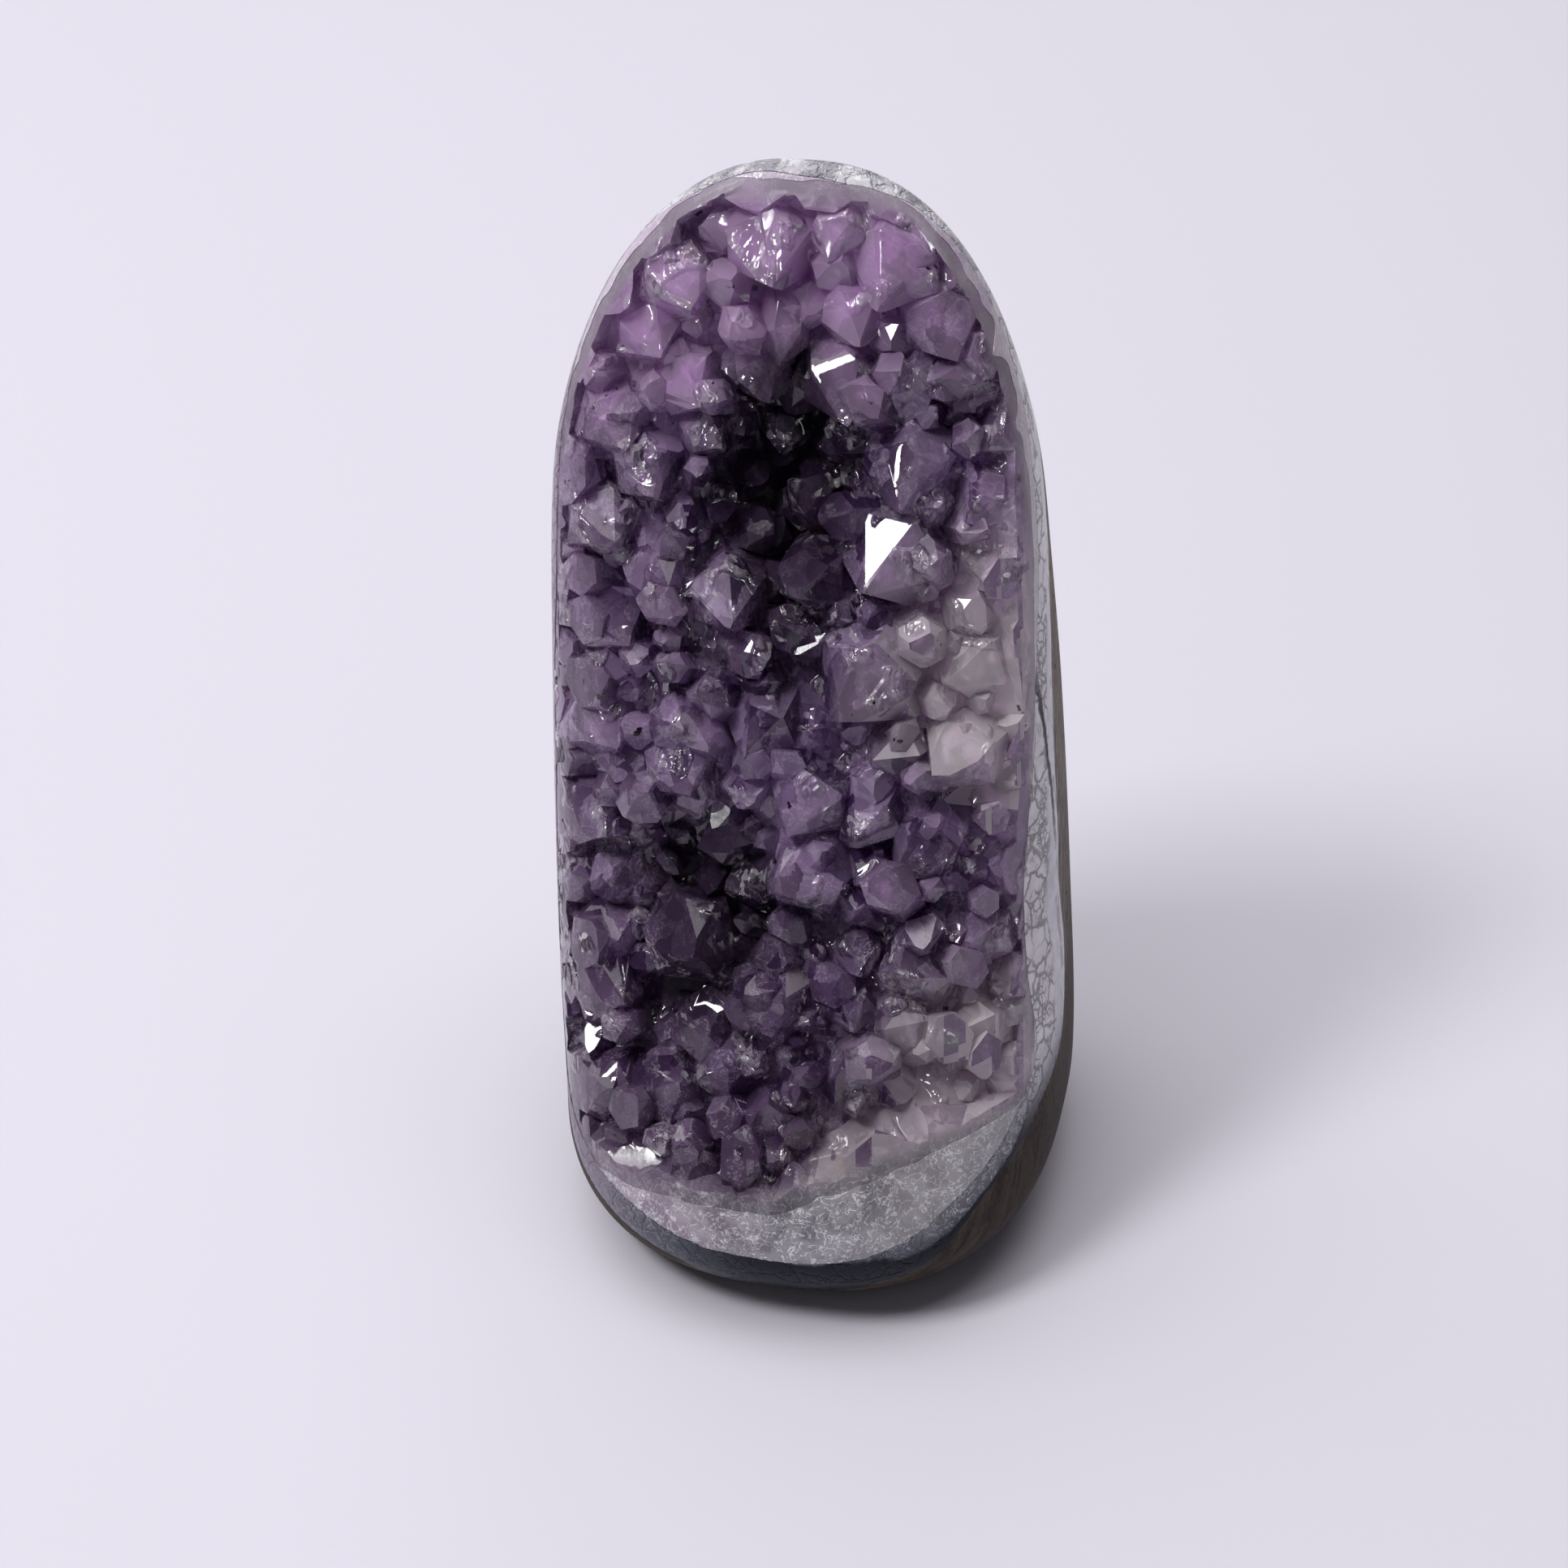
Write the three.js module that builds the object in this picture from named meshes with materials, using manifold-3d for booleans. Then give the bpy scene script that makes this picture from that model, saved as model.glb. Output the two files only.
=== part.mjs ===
// Amethyst geode, cut and polished to stand on a flat base.
// Millimetres, +Z up. The crystal face leans back and looks towards -Y.
// Three layers lie one behind the other, fused into one stone: the bed of amethyst crystals in front,
// a band of agate, and the rough basalt that the geode grew in. One smooth outside cuts all three.
import * as THREE from "three";
import { mergeVertices } from "three/addons/utils/BufferGeometryUtils.js";
import Module from "manifold-3d";

const wasm = await Module();
wasm.setup();

// ---------------------------------------------------------------------------------------------
// Driving dimensions
// ---------------------------------------------------------------------------------------------

// The polished outside: how far it reaches to the left, right, front and back at each height.
const STATIONS = [
  { z: 0, left: -35.1, right: 37.9, front: -38, back: 34 },
  { z: 15, left: -35.1, right: 38.9, front: -38, back: 36 },
  { z: 40, left: -37.1, right: 36.9, front: -26, back: 38 },
  { z: 75, left: -38.6, right: 33.4, front: -9, back: 38.5 },
  { z: 105, left: -39.1, right: 29.4, front: 6, back: 38.5 },
  { z: 130, left: -37.1, right: 26.4, front: 18, back: 38 },
  { z: 150, left: -34.1, right: 24.9, front: 27, back: 37 },
];
const HEIGHT = 150;
const WIDENING = 0.06; // the section is this much wider at BACK_REACH behind its middle
const BACK_REACH = 35;
const FRONT_SQUARENESS = 2.45; // exponent of the front half of the section, 2 would be an ellipse
const BACK_SQUARENESS = 2.9;
const FOOT_RADIUS = 15; // rounding of the bottom edge
const FOOT_TOP = 13.5;
const CROWN = { sides: 100, sidesPower: 2.3, depth: 128, depthPower: 2.2 }; // where the dome starts

// The crystal face: a leaning plane, measured by across (X), up the slope, and depth behind it.
const LEAN = THREE.MathUtils.degToRad(26);
const FACE_OFFSET = 41; // distance of the plane in front of the origin
const ROUNDING_END = 0.97; // part of the half width past which the rounding is held

// Depth of each layer behind the face, up the slope: at the left, in the middle, and at the right.
const LAYERS = [
  { up: -8, bedFloor: [-2, -2, -2], agateFloor: [2, 2, 2] },
  { up: 5, bedFloor: [12, 7, 4], agateFloor: [17, 12, 7.5] },
  { up: 14, bedFloor: [20, 15, 11], agateFloor: [25, 20, 17] },
  { up: 25, bedFloor: [20.5, 19, 18], agateFloor: [26, 25, 28] },
  { up: 37, bedFloor: [18, 20, 14], agateFloor: [23.5, 26, 29] },
  { up: 50, bedFloor: [16.5, 20, 11], agateFloor: [22, 26, 25] },
  { up: 75, bedFloor: [13.5, 20, 12], agateFloor: [19, 25.5, 19] },
  { up: 95, bedFloor: [10.5, 21, 11], agateFloor: [16, 25.5, 17] },
  { up: 110, bedFloor: [10, 20, 8], agateFloor: [15, 24, 14] },
  { up: 126, bedFloor: [9, 14, 6], agateFloor: [13, 18, 12] },
  { up: 138, bedFloor: [7, 8, 5], agateFloor: [11, 12.5, 9.5] },
  { up: 146, bedFloor: [4, 3, 5], agateFloor: [8.5, 8.5, 8.5] },
  { up: 160, bedFloor: [0, -3, 0], agateFloor: [3, 3, 3] },
];
const LEFT_REACH = 36; // where the left depths hold
const RIGHT_REACH = 33;
const BEYOND = 1.2; // the curves run on to this part of those reaches
const DIVE = { depth: 6.5, width: 1, full: 0.8, none: 0.97 }; // how steeply the layers turn down from the rim
const GAP = 0.3; // between neighbouring layers

// The floor that the crystals stand on, below the polished outside, and the deep hollows in it.
const BED_DEPTH = 7.5;
const RIM = {
  bottom: { at: 1, rise: 0.45, soft: 8 }, // up the slope; it rises to the right
  top: { at: 147, soft: 7 },
  left: { at: 1.04, soft: 0.14 }, // in parts of the half width
  right: { low: 0.97, high: 1.03, from: 45, to: 125, soft: 0.09 },
};
const RIM_RISE = 2; // outside the rim the floor would lie this far above the polished outside
const THINNEST_BED = 1.6;
const HOLLOWS = [
  { x: -6, up: 106, wide: 9.5, tall: 17, deep: 14 },
  { x: -12, up: 44, wide: 8.5, tall: 13, deep: 14 },
  { x: -3, up: 82, wide: 7, tall: 9, deep: 4 },
  { x: 7, up: 43, wide: 5, tall: 7, deep: 5 },
  { x: -17, up: 27, wide: 6, tall: 6, deep: 4 },
];

// Crystals: a six-sided prism, ended by three large and three small slopes.
const SLOPE = Math.tan(THREE.MathUtils.degToRad(51.8)); // rhombohedral faces of quartz
const ROOT_DEPTH = 1; // a crystal's root lies this far below the floor
const ROOT_SINK = 4; // and the crystal runs on this far past its root
const LEADING_STEPS = [0.2, 0.08]; // how much lower the large slopes are cut, as parts of the radius

// The leading crystals: [root across, root up, tip across, tip up, tip depth below the polished outside,
// radius, turn in degrees]
const LEADING = [
  // hanging from the crown
  [-10, 140, -8, 132, 0.4, 7, 10],
  [8, 140, 6, 130, 0.5, 7.4, 0],
  [13, 131, 17, 124, 0.6, 6.4, 25],
  [2, 131, 4, 125, 2, 5.4, 40],
  [-23, 133, -19, 128, 0.5, 6.2, 5],
  [-7, 131, -7, 121, 5, 3.6, 15],
  [-11, 124, -8, 116, 5, 4.2, 30],
  [1, 122, 3, 114, 3, 6.2, 0],
  [11, 122, 8, 114, 5, 4.6, 20],
  [0, 143, -1, 136, 0.5, 4, 30],
  // right of the upper hollow
  [11, 110, 11, 103, 2.1, 6.6, 0],
  [19, 121, 17, 117, 2.7, 4.7, 35],
  [22, 106, 20, 102, 2.8, 5.1, 10],
  [24, 115, 21, 112, 2.3, 4.7, 50],
  [25, 95, 22, 93, 2.5, 5.5, 20],
  [10, 96, 7, 92, 0.7, 8.1, 15],
  [0, 94, -2, 90, 2.9, 4.9, 0],
  [-1, 85, -2, 82, 4.3, 3.8, 45],
  [8, 80, 5, 74, 0.5, 8.1, 30],
  [22, 82, 19, 80, 1.7, 6, 5],
  [22, 70, 18, 67, 1.8, 6.6, 40],
  // left of the upper hollow
  [-26, 125, -23, 121, 2.3, 5.3, 20],
  [-20, 118, -17, 115, 2.7, 5.5, 50],
  [-31, 112, -27, 108, 1.5, 5.6, 0],
  [-25, 106, -22, 102, 2.1, 5.5, 25],
  [-31, 97, -28, 95, 0.5, 6, 10],
  [-23, 92, -20, 88, 2.7, 5.1, 40],
  [-13, 89, -11, 85, 3.1, 6.2, 15],
  [-29, 84, -25, 81, 1.7, 5.8, 30],
  [-30, 69, -26, 66, 1.7, 6, 5],
  [-30, 55, -27, 53, 2.1, 5.8, 45],
  // around the lower hollow
  [-6, 72, -8, 67, 3.1, 5.3, 0],
  [-17, 64, -15, 61, 2.1, 6.4, 20],
  [1, 61, -1, 57, 1.7, 6.4, 50],
  [2, 51, -2, 49, 0.7, 7.3, 20],
  [10, 60, 8, 56, 2.5, 5.1, 10],
  [17, 56, 15, 52, 2.3, 6.2, 35],
  [26, 44, 24, 41, 2.1, 5.6, 0],
  [9, 41, 10, 37, 4.3, 3.6, 15],
  [9, 32, 10, 29, 3.7, 3.6, 40],
  // below it
  [-16, 39, -13, 38, 1.8, 7.3, 30],
  [-2, 31, 0, 33, 1.5, 7.3, 5],
  [17, 38, 15, 39, 1.6, 7.3, 25],
  [-27, 30, -23, 29, 1.8, 6.2, 50],
  [-28, 14, -24, 16, 1.7, 6, 20],
  [-16, 16, -14, 19, 1.9, 6.8, 0],
  [-1, 14, -1, 18, 1.7, 6.2, 35],
  [22, 15, 20, 19, 1.5, 6, 10],
  [10, 21, 9, 24, 2.7, 5.5, 45],
  [4, 6, 3, 10, 1.5, 4.7, 15],
  [-11, 6, -10, 10, 1.9, 4.7, 55],
];

// The crystals between them, on a staggered grid with some scatter.
const FILL = {
  spacing: 9.8,
  scatter: 3,
  radius: [4.6, 6.2],
  rise: [4, 7],
  lean: 0.45, // how much they lean towards the middle of the cavity, at its edge
  inHollow: 0.4, // how much of their rise is left at the bottom of a deep hollow
  clear: 0.62, // of the two radii, kept free beside a leading crystal
  x: [-42, 40],
  up: [-6, 150],
  seed: 417,
};
const CAVITY = { x: -4, up: 68, halfWidth: 36, halfHeight: 78 };

// Fineness of the solids
const AROUND = 36;
const SKIN_GRID = { foot: 4, wall: 6, crown: 9, crownFrom: 95 };
const PROUD = 0.35; // the facets of the outside stand this far out, so that none cuts into the true curve
const FLOOR_GRID = { x: 7, up: 15 };
const BLOCK = { x: [-44, 44], up: [-26, 162], front: -14, behind: 80 };

// ---------------------------------------------------------------------------------------------
// Small helpers
// ---------------------------------------------------------------------------------------------

const { clamp, lerp, smoothstep } = THREE.MathUtils;

// A smooth curve through table rows: the value of one column at a place along the key column.
function through(table, key, at, read) {
  const last = table.length - 1;
  const place = clamp(at, table[0][key], table[last][key]);
  let i = 0;
  while (i < last - 1 && table[i + 1][key] <= place) i += 1;
  const slope = (j) => {
    const a = table[Math.max(j - 1, 0)];
    const b = table[Math.min(j + 1, last)];
    return (read(b) - read(a)) / (b[key] - a[key]);
  };
  const span = table[i + 1][key] - table[i][key];
  const t = (place - table[i][key]) / span;
  const [start, end] = [read(table[i]), read(table[i + 1])];
  const ease = 3 * t ** 2 - 2 * t ** 3;
  const bend = (t ** 3 - 2 * t ** 2 + t) * slope(i) + (t ** 3 - t ** 2) * slope(i + 1);
  return lerp(start, end, ease) + span * bend;
}

// A repeatable stream of numbers from 0 to 1.
function numbers(seed) {
  let state = seed;
  return () => {
    state = (Math.imul(state, 1664525) + 1013904223) >>> 0;
    return state / 4294967296;
  };
}

// From face coordinates (across, up the slope, depth behind the face) to the part's frame.
function fromFace(across, up, depth) {
  const behind = depth - FACE_OFFSET;
  return new THREE.Vector3(
    across,
    Math.sin(LEAN) * up + Math.cos(LEAN) * behind,
    Math.cos(LEAN) * up - Math.sin(LEAN) * behind,
  );
}

// A closed mesh as a manifold-3d solid, and back.
function solid(points, faces) {
  const geometry = new THREE.BufferGeometry().setFromPoints(points).setIndex(faces);
  return solidOf(geometry);
}

function solidOf(geometry) {
  const merged = mergeVertices(geometry, 1e-4);
  const corners = Array.from(merged.index.array);
  const triVerts = [];
  for (let i = 0; i < corners.length; i += 3) {
    const [a, b, c] = corners.slice(i, i + 3);
    if (a !== b && b !== c && c !== a) triVerts.push(a, b, c);
  }
  return new wasm.Manifold(
    new wasm.Mesh({
      numProp: 3,
      vertProperties: merged.attributes.position.array,
      triVerts: new Uint32Array(triVerts),
    }),
  );
}

function geometryOf(body) {
  const { numProp, vertProperties, triVerts } = body.getMesh();
  const geometry = new THREE.BufferGeometry();
  geometry.setAttribute("position", new THREE.BufferAttribute(vertProperties, numProp));
  geometry.setIndex(new THREE.BufferAttribute(triVerts, 1));
  const flat = geometry.toNonIndexed();
  flat.computeVertexNormals();
  return flat;
}

// ---------------------------------------------------------------------------------------------
// The polished outside
// ---------------------------------------------------------------------------------------------

const dome = (z, from, power) => {
  const t = clamp((z - from) / (HEIGHT - from), 0, 1);
  return (1 - t ** power) ** (1 / power);
};

// The rounded section at one height: its middle and half sizes.
function section(z) {
  const [left, right, front, back] = ["left", "right", "front", "back"].map((side) =>
    through(STATIONS, "z", z, (row) => row[side]),
  );
  const sink = clamp((FOOT_TOP - z) / FOOT_RADIUS, 0, 1);
  const inset = FOOT_RADIUS * (1 - Math.sqrt(1 - sink * sink));
  return {
    x: (left + right) / 2,
    y: (front + back) / 2,
    halfWidth: ((right - left) / 2 - inset + PROUD) * dome(z, CROWN.sides, CROWN.sidesPower),
    fullDepth: (back - front) / 2 - inset + PROUD,
    halfDepth: ((back - front) / 2 - inset + PROUD) * dome(z, CROWN.depth, CROWN.depthPower),
  };
}

function ring(z) {
  const at = section(z);
  return Array.from({ length: AROUND }, (_, i) => {
    const angle = (2 * Math.PI * i) / AROUND;
    const [c, s] = [Math.cos(angle), Math.sin(angle)];
    const power = s < 0 ? FRONT_SQUARENESS : BACK_SQUARENESS;
    const reach = (Math.abs(c) ** power + Math.abs(s) ** power) ** (-1 / power);
    const y = at.halfDepth * reach * s;
    const x = at.halfWidth * reach * c * (1 + (WIDENING * y) / BACK_REACH);
    return new THREE.Vector3(at.x + x, at.y + y, z);
  });
}

// How far aside of the middle a place on the crystal face lies, as a part of the stone's half width:
// negative to the left.
function aside(x, up) {
  const at = section(Math.cos(LEAN) * up + Math.sin(LEAN) * FACE_OFFSET);
  return (x - at.x) / Math.max(at.halfWidth, 1);
}

// How far the polished outside rounds off behind the leaning plane of the crystal face.
function rounding(x, up) {
  const at = section(Math.cos(LEAN) * up + Math.sin(LEAN) * FACE_OFFSET);
  const part = Math.min(Math.abs(aside(x, up)), ROUNDING_END);
  const front = at.halfDepth * (1 - part ** FRONT_SQUARENESS) ** (1 / FRONT_SQUARENESS);
  return (at.fullDepth - front) * Math.cos(LEAN);
}

function outside() {
  const heights = [];
  for (let i = 0; i < SKIN_GRID.foot; i += 1) {
    heights.push(FOOT_TOP * (1 - Math.cos((i / SKIN_GRID.foot) * (Math.PI / 2))));
  }
  for (let i = 0; i < SKIN_GRID.wall; i += 1) {
    heights.push(lerp(FOOT_TOP, SKIN_GRID.crownFrom, i / SKIN_GRID.wall));
  }
  for (let i = 0; i < SKIN_GRID.crown; i += 1) {
    heights.push(lerp(SKIN_GRID.crownFrom, HEIGHT, Math.sin((i / SKIN_GRID.crown) * (Math.PI / 2))));
  }
  const rings = heights.map(ring);
  const points = rings.flat();
  const middle = (z) => new THREE.Vector3(section(z).x, section(z).y, z);
  const bottom = points.push(middle(0)) - 1;
  const top = points.push(middle(HEIGHT)) - 1;
  const faces = [];
  for (let i = 0; i < AROUND; i += 1) {
    const next = (i + 1) % AROUND;
    faces.push(bottom, next, i);
    const lastRing = (rings.length - 1) * AROUND;
    faces.push(top, lastRing + i, lastRing + next);
    for (let row = 0; row < rings.length - 1; row += 1) {
      const [a, b] = [row * AROUND + i, row * AROUND + next];
      faces.push(a, b, b + AROUND, a, b + AROUND, a + AROUND);
    }
  }
  return solid(points, faces);
}

// ---------------------------------------------------------------------------------------------
// The layers behind the crystal face
// ---------------------------------------------------------------------------------------------

// Depth of a layer's back, which curves from the middle to the sides and turns down from the rim.
function layerDepth(name, x, up) {
  const [left, middle, right] = [0, 1, 2].map((i) => through(LAYERS, "up", up, (row) => row[name][i]));
  const reach = Math.min(x < 0 ? -x / LEFT_REACH : x / RIGHT_REACH, BEYOND);
  const depth = lerp(middle, x < 0 ? left : right, reach * reach);
  const margin = Math.max(depth - rounding(x, up), 0);
  const dive = DIVE.depth * (1 - Math.exp(-margin / DIVE.width));
  return depth + dive * (1 - smoothstep(Math.abs(aside(x, up)), DIVE.full, DIVE.none));
}

// How far the hollows take the floor down.
function hollowDepth(x, up) {
  const away = (h) => ((x - h.x) / h.wide) ** 2 + ((up - h.up) / h.tall) ** 2;
  return HOLLOWS.reduce((sum, h) => sum + h.deep * Math.exp(-away(h)), 0);
}

// 1 where the crystals stand free, 0 outside the rim.
function openness(x, up) {
  const { bottom, top, left, right } = RIM;
  const across = aside(x, up);
  const low = bottom.at + bottom.rise * Math.max(x, 0);
  const end = lerp(right.low, right.high, smoothstep(up, right.from, right.to));
  return (
    smoothstep(up, low, low + bottom.soft) *
    (1 - smoothstep(up, top.at - top.soft, top.at)) *
    (1 - smoothstep(-across, left.at - left.soft, left.at)) *
    (1 - smoothstep(across, end - right.soft, end))
  );
}

// Depth of the floor that the crystals stand on.
function bedDepth(x, up) {
  const open = openness(x, up);
  const below = (BED_DEPTH + hollowDepth(x, up)) * open - RIM_RISE * (1 - open);
  return Math.min(rounding(x, up) + below, layerDepth("bedFloor", x, up) - THINNEST_BED);
}

// A block of stone between two curved surfaces, each given as a depth behind the crystal face.
function slab(front, back, across, upward) {
  const points = [];
  for (const depth of [front, back]) {
    for (let j = 0; j <= upward; j += 1) {
      for (let i = 0; i <= across; i += 1) {
        const x = lerp(...BLOCK.x, i / across);
        const up = lerp(...BLOCK.up, j / upward);
        points.push(fromFace(x, up, depth(x, up)));
      }
    }
  }
  const row = across + 1;
  const layer = row * (upward + 1);
  const faces = [];
  const quad = (a, b, c, d) => faces.push(a, b, c, a, c, d);
  for (let j = 0; j < upward; j += 1) {
    for (let i = 0; i < across; i += 1) {
      const a = j * row + i;
      quad(a, a + 1, a + row + 1, a + row);
      quad(layer + a, layer + a + row, layer + a + row + 1, layer + a + 1);
    }
    const [l, r] = [j * row, j * row + across];
    quad(l, l + row, l + row + layer, l + layer);
    quad(r, r + layer, r + row + layer, r + row);
  }
  for (let i = 0; i < across; i += 1) {
    const top = upward * row + i;
    quad(i, i + layer, i + 1 + layer, i + 1);
    quad(top, top + 1, top + 1 + layer, top + layer);
  }
  return solid(points, faces);
}

// ---------------------------------------------------------------------------------------------
// The crystals
// ---------------------------------------------------------------------------------------------

// One crystal along +Z with its tip at the origin: three large slopes, three small ones, six sides.
function crystalPoints(radius, length, step) {
  const apothem = radius * Math.cos(Math.PI / 6);
  const shoulder = -SLOPE * apothem;
  const points = [new THREE.Vector3(0, 0, 0)];
  const at = (angle, out, z) => new THREE.Vector3(out * Math.cos(angle), out * Math.sin(angle), z);
  for (let i = 0; i < 3; i += 1) {
    const facing = Math.PI / 3 + (i * 2 * Math.PI) / 3;
    const half = (apothem / 2 - step / SLOPE) / Math.sin(Math.PI / 3);
    const spread = Math.atan2(half, apothem);
    const out = Math.hypot(half, apothem);
    points.push(
      at(facing, (2 * step) / SLOPE, -step),
      at(facing - spread, out, shoulder + step),
      at(facing + spread, out, shoulder + step),
      at(facing - Math.PI / 6, radius, shoulder),
      at(facing + Math.PI / 6, radius, shoulder),
      at(facing - Math.PI / 6, radius, -length),
      at(facing + Math.PI / 6, radius, -length),
    );
  }
  return points;
}

// Its faces, each as the corner numbers of a flat polygon seen from outside.
function crystalFaces() {
  const polygons = [];
  const base = [];
  const corners = (i) => [1, 2, 3, 4, 5, 6, 7].map((n) => n + 7 * (i % 3));
  for (let i = 0; i < 3; i += 1) {
    const [peak, low, high, lowCorner, highCorner, lowFoot, highFoot] = corners(i);
    const [nextPeak, nextLow, , nextLowCorner, , nextLowFoot] = corners(i + 1);
    polygons.push(
      [peak, low, high],
      [0, peak, high, highCorner, nextLowCorner, nextLow, nextPeak],
      [low, lowCorner, lowFoot, highFoot, highCorner, high],
      [highCorner, highFoot, nextLowFoot, nextLowCorner],
    );
    base.unshift(lowFoot, highFoot);
    [base[0], base[1]] = [highFoot, lowFoot];
  }
  polygons.push(base);
  return polygons.flatMap((p) => p.slice(2).flatMap((corner, i) => [p[0], p[i + 1], corner]));
}
const CRYSTAL_FACES = crystalFaces();

// A plainer crystal with six slopes alike, for the many between the leading ones.
function plainCrystal(radius, length) {
  const shoulder = -SLOPE * radius * Math.cos(Math.PI / 6);
  const profile = [
    [0, -length],
    [radius, -length],
    [radius, shoulder],
    [0, 0],
  ];
  const geometry = new THREE.LatheGeometry(profile.map(([x, y]) => new THREE.Vector2(x, y)), 6);
  geometry.deleteAttribute("normal").deleteAttribute("uv");
  return geometry.rotateX(Math.PI / 2);
}

// A crystal from its root in the bed to its tip, in face coordinates.
function crystal({ root, tip, radius, turn, step }) {
  const foot = fromFace(...root);
  const point = fromFace(...tip);
  const axis = point.clone().sub(foot);
  const length = axis.length() + ROOT_SINK;
  const facing = new THREE.Quaternion().setFromUnitVectors(new THREE.Vector3(0, 0, 1), axis.normalize());
  const spun = new THREE.Quaternion().setFromAxisAngle(new THREE.Vector3(0, 0, 1), turn);
  const place = new THREE.Matrix4().compose(point, facing.multiply(spun), new THREE.Vector3(1, 1, 1));
  if (!step) return solidOf(plainCrystal(radius, length).applyMatrix4(place));
  return solid(crystalPoints(radius, length, step).map((p) => p.applyMatrix4(place)), CRYSTAL_FACES);
}

function leadingCrystals() {
  return LEADING.map(([x, up, tipX, tipUp, tipDepth, radius, turn], i) => ({
    root: [x, up, bedDepth(x, up) + ROOT_DEPTH],
    tip: [tipX, tipUp, rounding(tipX, tipUp) + tipDepth],
    radius,
    turn: THREE.MathUtils.degToRad(turn),
    step: radius * LEADING_STEPS[i % 2],
  }));
}

function fillCrystals(taken) {
  const random = numbers(FILL.seed);
  const made = [];
  const rowHeight = FILL.spacing * Math.sin(Math.PI / 3);
  for (let row = 0, up = FILL.up[0]; up < FILL.up[1]; row += 1, up += rowHeight) {
    for (let x = FILL.x[0] + (row % 2) * (FILL.spacing / 2); x < FILL.x[1]; x += FILL.spacing) {
      const [px, pu] = [x + FILL.scatter * (random() - 0.5), up + FILL.scatter * (random() - 0.5)];
      const radius = lerp(...FILL.radius, random());
      const sunk = clamp(hollowDepth(px, pu) / HOLLOWS[0].deep, 0, 1);
      const rise = lerp(...FILL.rise, random()) * lerp(1, FILL.inHollow, sunk);
      const [wobbleX, wobbleUp, turn] = [random() - 0.5, random() - 0.5, random()];
      const near = taken.some((c) => {
        const middle = [0, 1].map((k) => (c.root[k] + c.tip[k]) / 2);
        return Math.hypot(middle[0] - px, middle[1] - pu) < FILL.clear * (c.radius + radius);
      });
      if (near) continue;
      const depth = bedDepth(px, pu);
      const leanX = (-(px - CAVITY.x) / CAVITY.halfWidth) * FILL.lean + wobbleX * FILL.lean;
      const leanUp = (-(pu - CAVITY.up) / CAVITY.halfHeight) * FILL.lean + wobbleUp * FILL.lean;
      made.push({
        root: [px, pu, depth + ROOT_DEPTH],
        tip: [px + rise * leanX, pu + rise * leanUp, depth - rise],
        radius,
        turn: turn * Math.PI,
      });
    }
  }
  return made;
}

// ---------------------------------------------------------------------------------------------
// The three fused layers
// ---------------------------------------------------------------------------------------------

const skin = outside();
const { x: acrossCells, up: upCells } = FLOOR_GRID;
const inFront = () => BLOCK.front;
const bedFloor = (x, up) => layerDepth("bedFloor", x, up);
const agateFloor = (x, up) => layerDepth("agateFloor", x, up);

// The stone itself, without the pockets of air that crystals close off between them and loose chips.
function wholePiece(body) {
  return body.decompose().reduce((a, b) => (b.volume() > a.volume() ? b : a));
}

function amethystDruse() {
  const leading = leadingCrystals();
  const crystals = [...leading, ...fillCrystals(leading)].map(crystal);
  const bed = slab(bedDepth, bedFloor, acrossCells, upCells);
  const room = slab(inFront, bedFloor, acrossCells, upCells);
  return wholePiece(wasm.Manifold.union([bed, ...crystals]).intersect(room).intersect(skin));
}

function agateBand() {
  return slab((x, up) => bedFloor(x, up) + GAP, agateFloor, acrossCells, upCells).intersect(skin);
}

function basaltMatrix() {
  return slab((x, up) => agateFloor(x, up) + GAP, () => BLOCK.behind, acrossCells, upCells).intersect(skin);
}

function mesh(name, body, color, roughness) {
  const material = new THREE.MeshStandardMaterial({ color, roughness, metalness: 0, flatShading: true });
  const made = new THREE.Mesh(geometryOf(body), material);
  made.name = name;
  return made;
}

const geode = new THREE.Group();
geode.add(
  mesh("amethyst_druse", amethystDruse(), 0x5b4a78, 0.15),
  mesh("agate_band", agateBand(), 0xa9a9ae, 0.2),
  mesh("basalt_matrix", basaltMatrix(), 0x7c766e, 0.45),
);

export default geode;
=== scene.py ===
"""A cut-base amethyst geode: violet crystals, a grey agate band and a basalt back, all one stone."""

import math

import bmesh
import bpy
import numpy as np
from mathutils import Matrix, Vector


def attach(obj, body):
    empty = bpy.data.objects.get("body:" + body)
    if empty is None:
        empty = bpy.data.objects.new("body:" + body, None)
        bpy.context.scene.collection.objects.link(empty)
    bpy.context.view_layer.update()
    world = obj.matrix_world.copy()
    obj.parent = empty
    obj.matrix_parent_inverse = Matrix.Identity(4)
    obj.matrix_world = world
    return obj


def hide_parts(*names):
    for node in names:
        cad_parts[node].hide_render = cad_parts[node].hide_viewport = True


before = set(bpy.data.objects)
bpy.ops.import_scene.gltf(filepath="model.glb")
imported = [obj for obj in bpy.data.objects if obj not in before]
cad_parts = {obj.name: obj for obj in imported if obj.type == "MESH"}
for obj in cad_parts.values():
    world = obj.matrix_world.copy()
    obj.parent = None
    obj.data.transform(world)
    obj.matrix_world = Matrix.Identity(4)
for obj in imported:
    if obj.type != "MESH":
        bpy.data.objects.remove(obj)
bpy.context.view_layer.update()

MM = 0.001

# ------------------------------
# Sizes of the stone, in millimetres
# ------------------------------

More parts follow.
